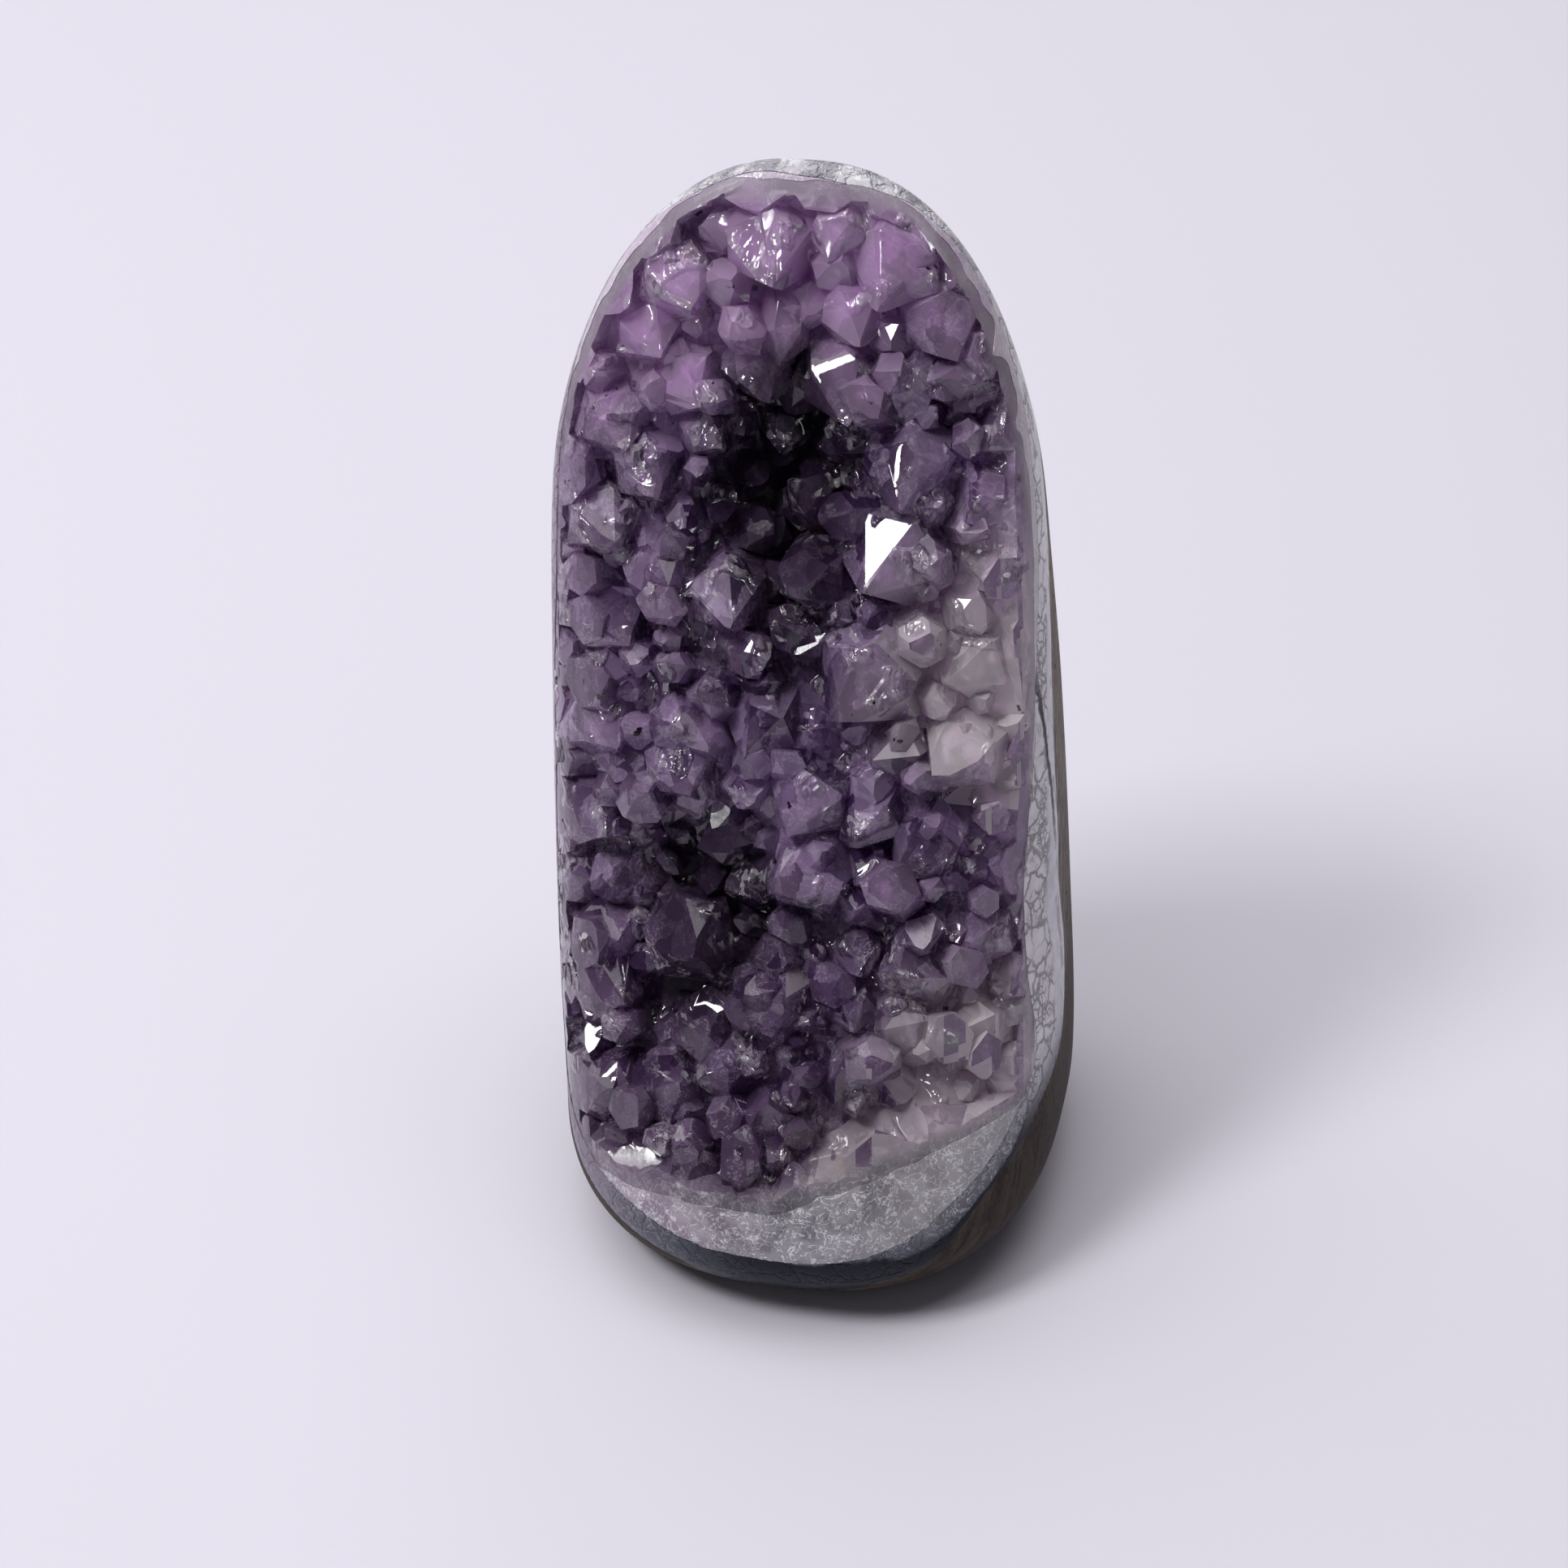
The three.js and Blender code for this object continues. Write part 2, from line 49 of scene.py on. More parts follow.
# The polished outside: reach to the left, right, front and back at each height.
HEIGHTS = (0, 15, 40, 75, 105, 130, 150)
LEFT = (-35.1, -35.1, -37.1, -38.6, -39.1, -37.1, -34.1)
RIGHT = (37.9, 38.9, 36.9, 33.4, 29.4, 26.4, 24.9)
FRONT = (-38, -38, -26, -9, 6, 18, 27)
BACK = (34, 36, 38, 38.5, 38.5, 38, 37)
HEIGHT = 150
WIDENING = 0.06
BACK_REACH = 35
FRONT_SQUARENESS = 2.45
BACK_SQUARENESS = 2.9
FOOT_RADIUS = 15
FOOT_TOP = 13.5
CROWN_SIDES = (100, 2.3)
CROWN_DEPTH = (128, 2.2)

# The crystal face: across (X), up the slope, and depth behind a leaning plane.
LEAN = math.radians(26)
FACE_OFFSET = 41
ROUNDING_END = 0.97

# Where the crystal bed and the agate end, as depths behind the face: left, middle and right.
UPS = (-8, 5, 14, 25, 37, 50, 75, 95, 110, 126, 138, 146, 160)
BED_FLOOR = (
    (-2, 12, 20, 20.5, 18, 16.5, 13.5, 10.5, 10, 9, 7, 4, 0),
    (-2, 7, 15, 19, 20, 20, 20, 21, 20, 14, 8, 3, -3),
    (-2, 4, 11, 18, 14, 11, 12, 11, 8, 6, 5, 5, 0),
)
AGATE_FLOOR = (
    (2, 17, 25, 26, 23.5, 22, 19, 16, 15, 13, 11, 8.5, 3),
    (2, 12, 20, 25, 26, 26, 25.5, 25.5, 24, 18, 12.5, 8.5, 3),
    (2, 7.5, 17, 28, 29, 25, 19, 17, 14, 12, 9.5, 8.5, 3),
)
LEFT_REACH = 36
RIGHT_REACH = 33
BEYOND = 1.2

# The layers turn steeply down from the rim: how deep, over what width,
# and between which parts of the half width this fades out.
DIVE = 6.5
DIVE_WIDTH = 1
DIVE_FADES = (0.8, 0.97)

# The rim of the opening: bottom and top are up the slope, left and right in parts of the half width.
BOTTOM_RIM, BOTTOM_RISE, BOTTOM_SOFT = 1, 0.45, 8
TOP_RIM, TOP_SOFT = 147, 7
LEFT_RIM, LEFT_SOFT = 1.04, 0.14
RIGHT_RIM, RIGHT_SOFT = (0.97, 1.03), 0.09
RIGHT_RIM_UPS = (45, 125)

# The floor that the crystals stand on, and its hollows: across, up, half width, half height, depth.
BED_DEPTH = 7.5
RIM_RISE = 2
THINNEST_BED = 1.6
HOLLOWS = (
    (-6, 106, 9.5, 17, 14),
    (-12, 44, 8.5, 13, 14),
    (-3, 82, 7, 9, 4),
    (7, 43, 5, 7, 5),
    (-17, 27, 6, 6, 4),
)
DEEPEST_HOLLOW = 14

# The crystals: how deep their bed is made before it is cut, how much it is raised at the rim,
# and how deep they are clear before they turn cloudy.
MASS_BEHIND = 6
CROWN_WALL = 2
RIM_EXTRA = 2.6
CLEAR_DEPTH = 1.9
GLASS_INSET = 0.2
ROOT_GRAIN = 0.6
ROOT_REACH = 3.0
ROOT_GAP = 0.08

# Crystals grown between the leading ones: radius from and to, how far apart, most per square metre, tilt
MEDIUM = (1.9, 4.0, 4.6, 90000.0, 0.45)
SMALL = (0.6, 1.5, 2.2, 260000.0, 0.6)

# The fissure in the right wall: from and to height, its Y at the lower end and how that
# changes with height, and the X of the wall there.
FISSURE = (57, 88)
FISSURE_Y = 6.9
FISSURE_LEAN = 0.1
FISSURE_HALF_WIDTH = 0.42
FISSURE_DEPTH = 2
FISSURE_ROWS = 24
WALL_X, WALL_LEAN, WALL_Z = 33.4, 0.11, 60

# Fineness and fits of the finished surfaces
SKIN_AROUND = 200
SKIN_ROWS = (26, 90, 80)
CROWN_FROM = 95
SKIN_INSET = 0.12
SEAM = 0.02
BED_CELLS = (110, 220)
LAYER_CELLS = (120, 240)

# Blocks that are cut to the stone reach beyond it on every side.
BLOCK_ACROSS = (-44, 44)
BLOCK_UP = (-26, 162)
BEFORE_STONE = -14
BEHIND_STONE = 80

# Points closer than this are merged, in metres.
MERGE_CAD = 5e-7
MERGE_CRYSTALS = 1e-7
MERGE_LAYER = 2e-6

SEED = 11


# ------------------------------
# Curves and surfaces
# ------------------------------


def through(places, values, at):
    """A smooth curve through the values at the given places."""
    places = np.asarray(places, float)
    values = np.asarray(values, float)
    at = np.clip(np.asarray(at, float), places[0], places[-1])
    slopes = np.empty_like(values)
    slopes[1:-1] = (values[2:] - values[:-2]) / (places[2:] - places[:-2])
    slopes[0] = (values[1] - values[0]) / (places[1] - places[0])
    slopes[-1] = (values[-1] - values[-2]) / (places[-1] - places[-2])
    i = np.clip(np.searchsorted(places, at, side="right") - 1, 0, len(places) - 2)
    span = places[i + 1] - places[i]
    t = (at - places[i]) / span
    ease = 3 * t**2 - 2 * t**3
    bend = (t**3 - 2 * t**2 + t) * slopes[i] + (t**3 - t**2) * slopes[i + 1]
    return values[i] + (values[i + 1] - values[i]) * ease + span * bend


def ease_between(start, end, at):
    t = np.clip((np.asarray(at, float) - start) / (end - start), 0, 1)
    return t * t * (3 - 2 * t)


def dome(z, start, power):
    t = np.clip((z - start) / (HEIGHT - start), 0, 1)
    return (1 - t**power) ** (1 / power)


def section(z, inset=0.0):
    """Middle and half sizes of the rounded section at a height, and its half depth below the crown."""
    left, right, front, back = (through(HEIGHTS, side, z) for side in (LEFT, RIGHT, FRONT, BACK))
    sink = np.clip((FOOT_TOP - z) / FOOT_RADIUS, 0, 1)
    drawn_in = FOOT_RADIUS * (1 - np.sqrt(1 - sink * sink)) + inset
    half_width = ((right - left) / 2 - drawn_in) * dome(z, *CROWN_SIDES)
    full_depth = (back - front) / 2 - drawn_in
    half_depth = full_depth * dome(z, *CROWN_DEPTH)
    return (left + right) / 2, (front + back) / 2, half_width, half_depth, full_depth


def from_face(across, up, depth):
    behind = depth - FACE_OFFSET
    y = math.sin(LEAN) * up + math.cos(LEAN) * behind
    z = math.cos(LEAN) * up - math.sin(LEAN) * behind
    return np.stack([across, y, z], -1)


def to_face(points):
    """Across, up the slope and depth behind the face of points in millimetres."""
    y, z = points[..., 1], points[..., 2]
    up = math.sin(LEAN) * y + math.cos(LEAN) * z
    depth = math.cos(LEAN) * y - math.sin(LEAN) * z + FACE_OFFSET
    return points[..., 0], up, depth


def section_behind(up):
    return section(math.cos(LEAN) * up + math.sin(LEAN) * FACE_OFFSET)


def aside(across, up):
    """How far aside of the middle a place lies, in parts of the half width: negative to the left."""
    middle, _, half_width, _, _ = section_behind(up)
    return (across - middle) / np.maximum(half_width, 1)


def rounding(across, up):
    """How far the polished outside rounds off behind the leaning plane."""
    _, _, _, half_depth, full_depth = section_behind(up)
    part = np.minimum(np.abs(aside(across, up)), ROUNDING_END)
    bow = half_depth * (1 - part**FRONT_SQUARENESS) ** (1 / FRONT_SQUARENESS)
    return (full_depth - bow) * math.cos(LEAN)


def layer_depth(sides, across, up):
    """Depth of a layer's back, which curves from the middle to the sides and turns down from the rim."""
    left, middle, right = (through(UPS, side, up) for side in sides)
    reach = np.minimum(np.where(across < 0, -across / LEFT_REACH, across / RIGHT_REACH), BEYOND) ** 2
    depth = middle * (1 - reach) + np.where(across < 0, left, right) * reach
    margin = np.maximum(depth - rounding(across, up), 0)
    dive = DIVE * (1 - np.exp(-margin / DIVE_WIDTH))
    return depth + dive * (1 - ease_between(*DIVE_FADES, np.abs(aside(across, up))))


def ripple(across, up, seed, size, waves=9):
    """Soft natural unevenness from a few crossing waves, about -1 to 1."""
    rng = np.random.default_rng(seed)
    total = np.zeros(np.broadcast(across, up).shape)
    for _ in range(waves):
        angle = rng.uniform(0, math.tau)
        length = size * rng.uniform(0.45, 1.6)
        along = across * math.cos(angle) + up * math.sin(angle)
        total += np.sin(along * math.tau / length + rng.uniform(0, math.tau))
    return total / math.sqrt(waves) * 0.7


def depth_of_back(across, up):
    """Depth of the polished outside at the back of the stone."""
    depth = 60 + 0 * across
    for _ in range(12):
        z = np.clip(math.cos(LEAN) * up - math.sin(LEAN) * (depth - FACE_OFFSET), 0, HEIGHT)
        middle, y_middle, half_width, half_depth, _ = section(z)
        part = np.minimum(np.abs(across - middle) / np.maximum(half_width, 1), 0.999)
        y = y_middle + half_depth * (1 - part**BACK_SQUARENESS) ** (1 / BACK_SQUARENESS)
        depth = 0.5 * depth + 0.5 * ((y - math.sin(LEAN) * up) / math.cos(LEAN) + FACE_OFFSET)
    return depth


def bed_floor(across, up):
    uneven = 0.5 * ripple(across, up, 3, 26) + 0.15 * ripple(across, up, 4, 6)
    inside = depth_of_back(across, up) - CROWN_WALL
    return np.minimum(layer_depth(BED_FLOOR, across, up) + uneven, np.where(up > 100, inside, 99))


def agate_floor(across, up):
    uneven = 0.5 * ripple(across, up, 5, 30) + 0.12 * ripple(across, up, 6, 7)
    return layer_depth(AGATE_FLOOR, across, up) + uneven


def hollow_depth(across, up):
    total = np.zeros(np.broadcast(across, up).shape)
    for x, y, wide, tall, deep in HOLLOWS:
        total += deep * np.exp(-(((across - x) / wide) ** 2) - ((up - y) / tall) ** 2)
    return total


def openness(across, up):
    """1 where crystals stand free, 0 at the rim that is cut flush."""
    low = BOTTOM_RIM + BOTTOM_RISE * np.maximum(across, 0)
    right = RIGHT_RIM[0] + (RIGHT_RIM[1] - RIGHT_RIM[0]) * ease_between(*RIGHT_RIM_UPS, up)
    place = aside(across, up)
    return (
        ease_between(0, BOTTOM_SOFT, up - low)
        * (1 - ease_between(TOP_RIM - TOP_SOFT, TOP_RIM, up))
        * (1 - ease_between(LEFT_RIM - LEFT_SOFT, LEFT_RIM, -place))
        * (1 - ease_between(-RIGHT_SOFT, 0, place - right))
    )


def bed(across, up):
    """Depth of the floor that the crystals stand on."""
    free = openness(across, up)
    below = (BED_DEPTH + hollow_depth(across, up)) * free - RIM_RISE * (1 - free)
    drusy = 0.35 * ripple(across, up, 7, 5) * free
    deepest = layer_depth(BED_FLOOR, across, up) - THINNEST_BED
    return np.minimum(rounding(across, up) + below + drusy, deepest)


# ------------------------------
# Meshes
# ------------------------------


def new_object(name, data):
    obj = bpy.data.objects.new(name, data)
    bpy.context.scene.collection.objects.link(obj)
    return obj


def mesh_from(name, points_mm, faces):
    mesh = bpy.data.meshes.new(name)
    mesh.from_pydata((np.asarray(points_mm) * MM).tolist(), [], faces)
    mesh.update()
    return new_object(name, mesh)


def remove(*objects):
    for obj in objects:
        mesh = obj.data
        bpy.data.objects.remove(obj)
        if mesh.users == 0:
            bpy.data.meshes.remove(mesh)


def skin(name, inset):
    """The polished outside as a closed body, drawn in by the inset."""
    foot, wall, crown = SKIN_ROWS
    around = SKIN_AROUND
    quarter = math.pi / 2
    z = np.concatenate([
        FOOT_TOP * (1 - np.cos(np.linspace(0, quarter, foot, endpoint=False))),
        np.linspace(FOOT_TOP, CROWN_FROM, wall, endpoint=False),
        CROWN_FROM + (HEIGHT - CROWN_FROM) * np.sin(np.linspace(0, quarter, crown, endpoint=False)),
    ])
    x_mid, y_mid, half_width, half_depth = (v[:, None] for v in section(z, inset)[:4])
    angle = np.linspace(0, math.tau, around, endpoint=False)[None, :]
    c, s = np.cos(angle), np.sin(angle)
    power = np.where(s < 0, FRONT_SQUARENESS, BACK_SQUARENESS)
    reach = (np.abs(c) ** power + np.abs(s) ** power) ** (-1 / power)
    y = half_depth * reach * s
    x = half_width * reach * c * (1 + WIDENING * y / BACK_REACH)
    lift = inset * (1 - 2 * z / HEIGHT)
    ring_z = (z + lift)[:, None] + 0 * x
    points = np.stack([x_mid + x, y_mid + y, ring_z], -1).reshape(-1, 3)
    low, high = section(0.0), section(float(HEIGHT))
    ends = [(float(low[0]), float(low[1]), inset), (float(high[0]), float(high[1]), HEIGHT - inset)]
    count = len(z)
    bottom, top = count * around, count * around + 1
    last = (count - 1) * around
    faces = []
    for i in range(around):
        j = (i + 1) % around
        faces.append((bottom, j, i))
        faces.append((top, last + i, last + j))
        for row in range(count - 1):
            a, b = row * around + i, row * around + j
            faces.append((a, b, b + around, a + around))
    return mesh_from(name, np.vstack([points, ends]), faces)


def slab(name, front, back, cells, across=BLOCK_ACROSS, up=BLOCK_UP):
    """A block between two curved surfaces, each a depth behind the crystal face."""
    wide, tall = cells
    grid_x, grid_up = np.meshgrid(np.linspace(*across, wide + 1), np.linspace(*up, tall + 1))
    layers = [
        from_face(grid_x, grid_up, depth(grid_x, grid_up) + 0 * grid_x).reshape(-1, 3)
        for depth in (front, back)
    ]
    row = wide + 1
    far = row * (tall + 1)
    faces = []
    for j in range(tall):
        for i in range(wide):
            a = j * row + i
            faces.append((a, a + 1, a + row + 1, a + row))
            faces.append((far + a, far + a + row, far + a + row + 1, far + a + 1))
        left, right = j * row, j * row + wide
        faces.append((left, left + row, left + row + far, left + far))
        faces.append((right, right + far, right + row + far, right + row))
    for i in range(wide):
        upper = tall * row + i
        faces.append((i, i + far, i + 1 + far, i + 1))
        faces.append((upper, upper + 1, upper + 1 + far, upper + far))
    return mesh_from(name, np.concatenate(layers), faces)


def cut(obj, operation, other):
    """Keeps what the object shares with the other one (INTERSECT), or what lies outside it (DIFFERENCE)."""
    step = obj.modifiers.new("cut", "BOOLEAN")
    step.operation = operation
    step.solver = "MANIFOLD"
    step.object = other
    settle(obj)
    remove(other)


def settle(obj):
    """Turns the object's modifiers into plain mesh."""
    graph = bpy.context.evaluated_depsgraph_get()
    mesh = bpy.data.meshes.new_from_object(obj.evaluated_get(graph))
    old = obj.data
    obj.modifiers.clear()
    obj.data = mesh
    mesh.name = obj.name
    if old.users == 0:
        bpy.data.meshes.remove(old)


def points_of(mesh):
    co = np.empty(len(mesh.vertices) * 3, np.float32)
    mesh.vertices.foreach_get("co", co)
    return co.reshape(-1, 3) / MM


def smooth_by_angle(mesh, degrees):
    mesh.shade_smooth()
    mesh.set_sharp_from_angle(angle=math.radians(degrees))


def paint(obj, material):
    """Makes the material the only one on the piece."""
    obj.data.materials.clear()
    obj.data.materials.append(material)
    obj.data.polygons.foreach_set("material_index", np.zeros(len(obj.data.polygons), np.int32))
    return obj


def keep_value(mesh, name, values, where="POINT"):
    """Stores a value for each point or face, for the materials and node trees to read."""
    layer = mesh.attributes.new(name, "FLOAT", where)
    layer.data.foreach_set("value", np.asarray(values, np.float32))


def mark_stone(mesh):
    """Keeps on the mesh how open the stone is, how deep its hollow, and where each point lies in it."""
    across, up, depth = to_face(points_of(mesh))
    keep_value(mesh, "open", openness(across, up))
    keep_value(mesh, "hollow", np.clip(hollow_depth(across, up) / DEEPEST_HOLLOW, 0, 1))
    keep_value(mesh, "below", np.clip(depth - rounding(across, up), -1, 30))
    start, end = bed_floor(across, up), agate_floor(across, up)
    keep_value(mesh, "band", np.clip((depth - start) / (end - start), -1, 3))


def scramble(numbers):
    """A repeatable number from 0 to 1 for each row of whole numbers."""
    weights = np.array([12.9898, 78.233, 37.719, 4.581])[: numbers.shape[1]]
    mixed = np.abs(np.sin(numbers @ weights) * 43758.5453)
    return mixed - np.floor(mixed)


def near_places(points, places):
    """1 close to one of the places, 0 beyond its radius."""
    total = np.zeros(len(points))
    for x, y, z, radius in places:
        away = np.linalg.norm(points - (x, y, z), axis=1)
        total = np.maximum(total, 1 - ease_between(0.4 * radius, radius, away))
    return total


def mark_places(mesh, points, where="POINT", pick=slice(None)):
    """Keeps on the mesh how close each point or facet lies to the pale, the broken and the deep places."""
    for name, places in (("pale", PALE_PLACES), ("broken", BROKEN_PLACES), ("deep", DEEP_PLACES)):
        keep_value(mesh, name, near_places(points, places)[pick], where)


def mark_facets(mesh):
    """Gives every flat facet a tone of its own, and every small region a tone that its facets share."""
    count = len(mesh.polygons)
    normals = np.empty(count * 3, np.float32)
    centres = np.empty(count * 3, np.float32)
    areas = np.empty(count, np.float32)
    for name, values in (("normal", normals), ("center", centres), ("area", areas)):
        mesh.polygons.foreach_get(name, values)
    normals, centres = normals.reshape(-1, 3), centres.reshape(-1, 3) / MM
    away = (normals * centres).sum(1, keepdims=True)
    plane = np.concatenate([np.round(normals * 12), np.round(away * 1.5)], 1)
    _, facet = np.unique(plane, axis=0, return_inverse=True)
    facet = facet.ravel()
    weight = np.bincount(facet, areas) + 1e-12
    middle = np.stack([np.bincount(facet, areas * centres[:, i]) / weight for i in range(3)], 1)
    region = scramble(np.floor(middle / 7.0))
    keep_value(mesh, "facet", scramble(plane), "FACE")
    keep_value(mesh, "region", region[facet], "FACE")
    mark_places(mesh, middle + 2 * region[:, None], "FACE", facet)


def tidy_mesh(mesh, distance):
    """Merges points closer than the distance, in metres."""
    work = bmesh.new()
    work.from_mesh(mesh)
    bmesh.ops.remove_doubles(work, verts=work.verts, dist=distance)
    bmesh.ops.dissolve_degenerate(work, edges=work.edges, dist=distance)
    work.to_mesh(mesh)
    work.free()


# ------------------------------
# Crystals
# ------------------------------


def crystal_form(name, slenderness):
    """One quartz point of radius 1 mm: six sides, three large and three small slopes."""
    slope = math.tan(math.radians(51.8))
    apothem = math.cos(math.pi / 6)
    step = 0.22
    shoulder = slenderness - slope * apothem
    work = bmesh.new()
    tip = work.verts.new((0, 0, slenderness * MM))
    half = (apothem / 2 - step / slope) / math.sin(math.pi / 3)
    spread, out = math.atan2(half, apothem), math.hypot(half, apothem)

    def at(angle, reach, z):
        return work.verts.new((reach * math.cos(angle) * MM, reach * math.sin(angle) * MM, z * MM))

    rings = []
    for i in range(3):
        facing = math.pi / 3 + i * math.tau / 3
        rings.append([
            at(facing, 2 * step / slope, slenderness - step),
            at(facing - spread, out, shoulder + step),
            at(facing + spread, out, shoulder + step),
            at(facing - math.pi / 6, 1, shoulder),
            at(facing + math.pi / 6, 1, shoulder),
            at(facing - math.pi / 6, 1, -0.8),
            at(facing + math.pi / 6, 1, -0.8),
        ])
    base = []
    for i in range(3):
        peak, low, high, low_corner, high_corner, low_foot, high_foot = rings[i]
        next_peak, next_low, _, next_low_corner, _, next_low_foot, _ = rings[(i + 1) % 3]
        work.faces.new((peak, low, high))
        work.faces.new((tip, peak, high, high_corner, next_low_corner, next_low, next_peak))
        work.faces.new((low, low_corner, low_foot, high_foot, high_corner, high))
        work.faces.new((high_corner, high_foot, next_low_foot, next_low_corner))
        base = [high_foot, low_foot] + base
    work.faces.new(base)
    mesh = bpy.data.meshes.new(name)
    work.to_mesh(mesh)
    work.free()
    return new_object(name, mesh)


class Tree:
    """A few short words for building a node tree."""

    def __init__(self, tree):
        self.tree = tree

    def link(self, a, b):
        self.tree.links.new(a, b)

    def feed(self, socket, value):
        """Links a socket to a value from another node, or sets it to a plain one."""
        if isinstance(value, bpy.types.NodeSocket):
            self.link(value, socket)
        elif isinstance(value, tuple) and len(value) == 3 and socket.type == "RGBA":
            socket.default_value = (*value, 1)
        elif value is not None:
            socket.default_value = value

    def put(self, node, **inputs):
        for key, value in inputs.items():
            self.feed(node.inputs[key.replace("_", " ")], value)
        return node

    def node(self, kind, settings=(), **inputs):
        made = self.tree.nodes.new(kind)
        for key, value in dict(settings).items():
            setattr(made, key, value)
        return self.put(made, **inputs)

    def math(self, operation, *values):
        made = self.node("ShaderNodeMath", {"operation": operation})
        for socket, value in zip(made.inputs, values):
            self.feed(socket, value)
        return made.outputs[0]

    def times(self, a, b):
        return self.math("MULTIPLY", a, b)

    def plus(self, a, b):
        return self.math("ADD", a, b)

    def minus(self, a, b):
        return self.math("SUBTRACT", a, b)

    def mix(self, part, a, b):
        """Goes from colour a to colour b as the part goes from 0 to 1."""
        made = self.node("ShaderNodeMix", {"data_type": "RGBA"})
        for place, value in ((0, part), (6, a), (7, b)):
            self.feed(made.inputs[place], value)
        return made.outputs[2]

    def spread(self, value, low, high, start=0.0, end=1.0, kind="SMOOTHSTEP"):
        """Maps low..high to start..end, and holds the ends."""
        made = self.node(
            "ShaderNodeMapRange", {"interpolation_type": kind, "clamp": True},
            Value=value, From_Min=low, From_Max=high, To_Min=start, To_Max=end,
        )
        return made.outputs[0]

    def mapped(self, place, **settings):
        return self.node("ShaderNodeMapping", Vector=place, **settings).outputs[0]

    def millimetres(self, turn=0.0, stretch=(1, 1, 1)):
        """The piece's own coordinates in millimetres, turned about X and stretched."""
        place = self.node("ShaderNodeTexCoord").outputs["Object"]
        turned = self.mapped(place, Rotation=(turn, 0, 0), Scale=(1000, 1000, 1000))
        return self.mapped(turned, Scale=stretch)

    def axes(self, place):
        return self.node("ShaderNodeSeparateXYZ", Vector=place).outputs

    def noise(self, place, size, detail=3.0, roughness=0.5):
        made = self.node("ShaderNodeTexNoise", Vector=place, Scale=1 / size)
        return self.put(made, Detail=detail, Roughness=roughness).outputs[0]

    def warped(self, place, size, amount):
        """Coordinates pushed about by a soft noise."""
        push = self.node("ShaderNodeTexNoise", Vector=place, Scale=1 / size)
        moved = place
        for operation, given in (
            ("SUBTRACT", (push.outputs["Color"], (0.5, 0.5, 0.5))),
            ("MULTIPLY_ADD", (None, (amount,) * 3, place)),
        ):
            step = self.node("ShaderNodeVectorMath", {"operation": operation})
            for socket, value in zip(step.inputs, given):
                self.feed(socket, moved if value is None else value)
            moved = step.outputs[0]
        return moved

    def cell_edges(self, place, size):
        made = self.node("ShaderNodeTexVoronoi", {"feature": "DISTANCE_TO_EDGE"})
        return self.put(made, Vector=place, Scale=1 / size).outputs["Distance"]

    def value(self, name):
        """A value stored on the piece's points or faces."""
        return self.node("ShaderNodeAttribute", {"attribute_name": name}).outputs["Fac"]

    def spots(self, place, places):
        """Soft round spots: across, deep, up and radius of each in millimetres."""
        total = None
        for x, y, z, radius in places:
            away = self.node("ShaderNodeVectorMath", {"operation": "DISTANCE"})
            self.feed(away.inputs[0], place)
            self.feed(away.inputs[1], (x, y, z))
            spot = self.spread(away.outputs["Value"], radius * 0.45, radius, 1.0, 0.0)
            total = spot if total is None else self.math("MAXIMUM", total, spot)
        return total

    def relief(self, height, depth, normal=None):
        made = self.node("ShaderNodeBump", Strength=1.0, Distance=depth * MM, Height=height, Normal=normal)
        return made.outputs[0]

    def group(self, name, **inputs):
        return self.node("ShaderNodeGroup", {"node_tree": bpy.data.node_groups[name]}, **inputs).outputs


def run_tree(obj, name, **values):
    """Runs a Geometry Nodes tree on the object, its inputs set by their names, and keeps the mesh."""
    step = obj.modifiers.new(name, "NODES")
    step.node_group = bpy.data.node_groups[name]
    for item in step.node_group.interface.items_tree:
        key = item.name.replace(" ", "_").lower()
        if key in values:
            step[item.identifier] = values[key]
    settle(obj)


def new_tree(name, inputs):
    """A Geometry Nodes tree with a mesh and the named inputs going in, and a mesh coming out."""
    tree = bpy.data.node_groups.new(name, "GeometryNodeTree")
    for label, kind in (("Geometry", "Geometry"), *inputs):
        tree.interface.new_socket(name=label, in_out="INPUT", socket_type="NodeSocket" + kind)
    tree.interface.new_socket(name="Geometry", in_out="OUTPUT", socket_type="NodeSocketGeometry")
    t = Tree(tree)
    return t, t.node("NodeGroupInput").outputs


def end_tree(t, made, material):
    """Turns instances into mesh, paints it and sends it out."""
    real = t.node("GeometryNodeRealizeInstances", Geometry=made)
    painted = t.node("GeometryNodeSetMaterial", Geometry=real.outputs[0], Material=material)
    t.link(painted.outputs[0], t.node("NodeGroupOutput").inputs[0])


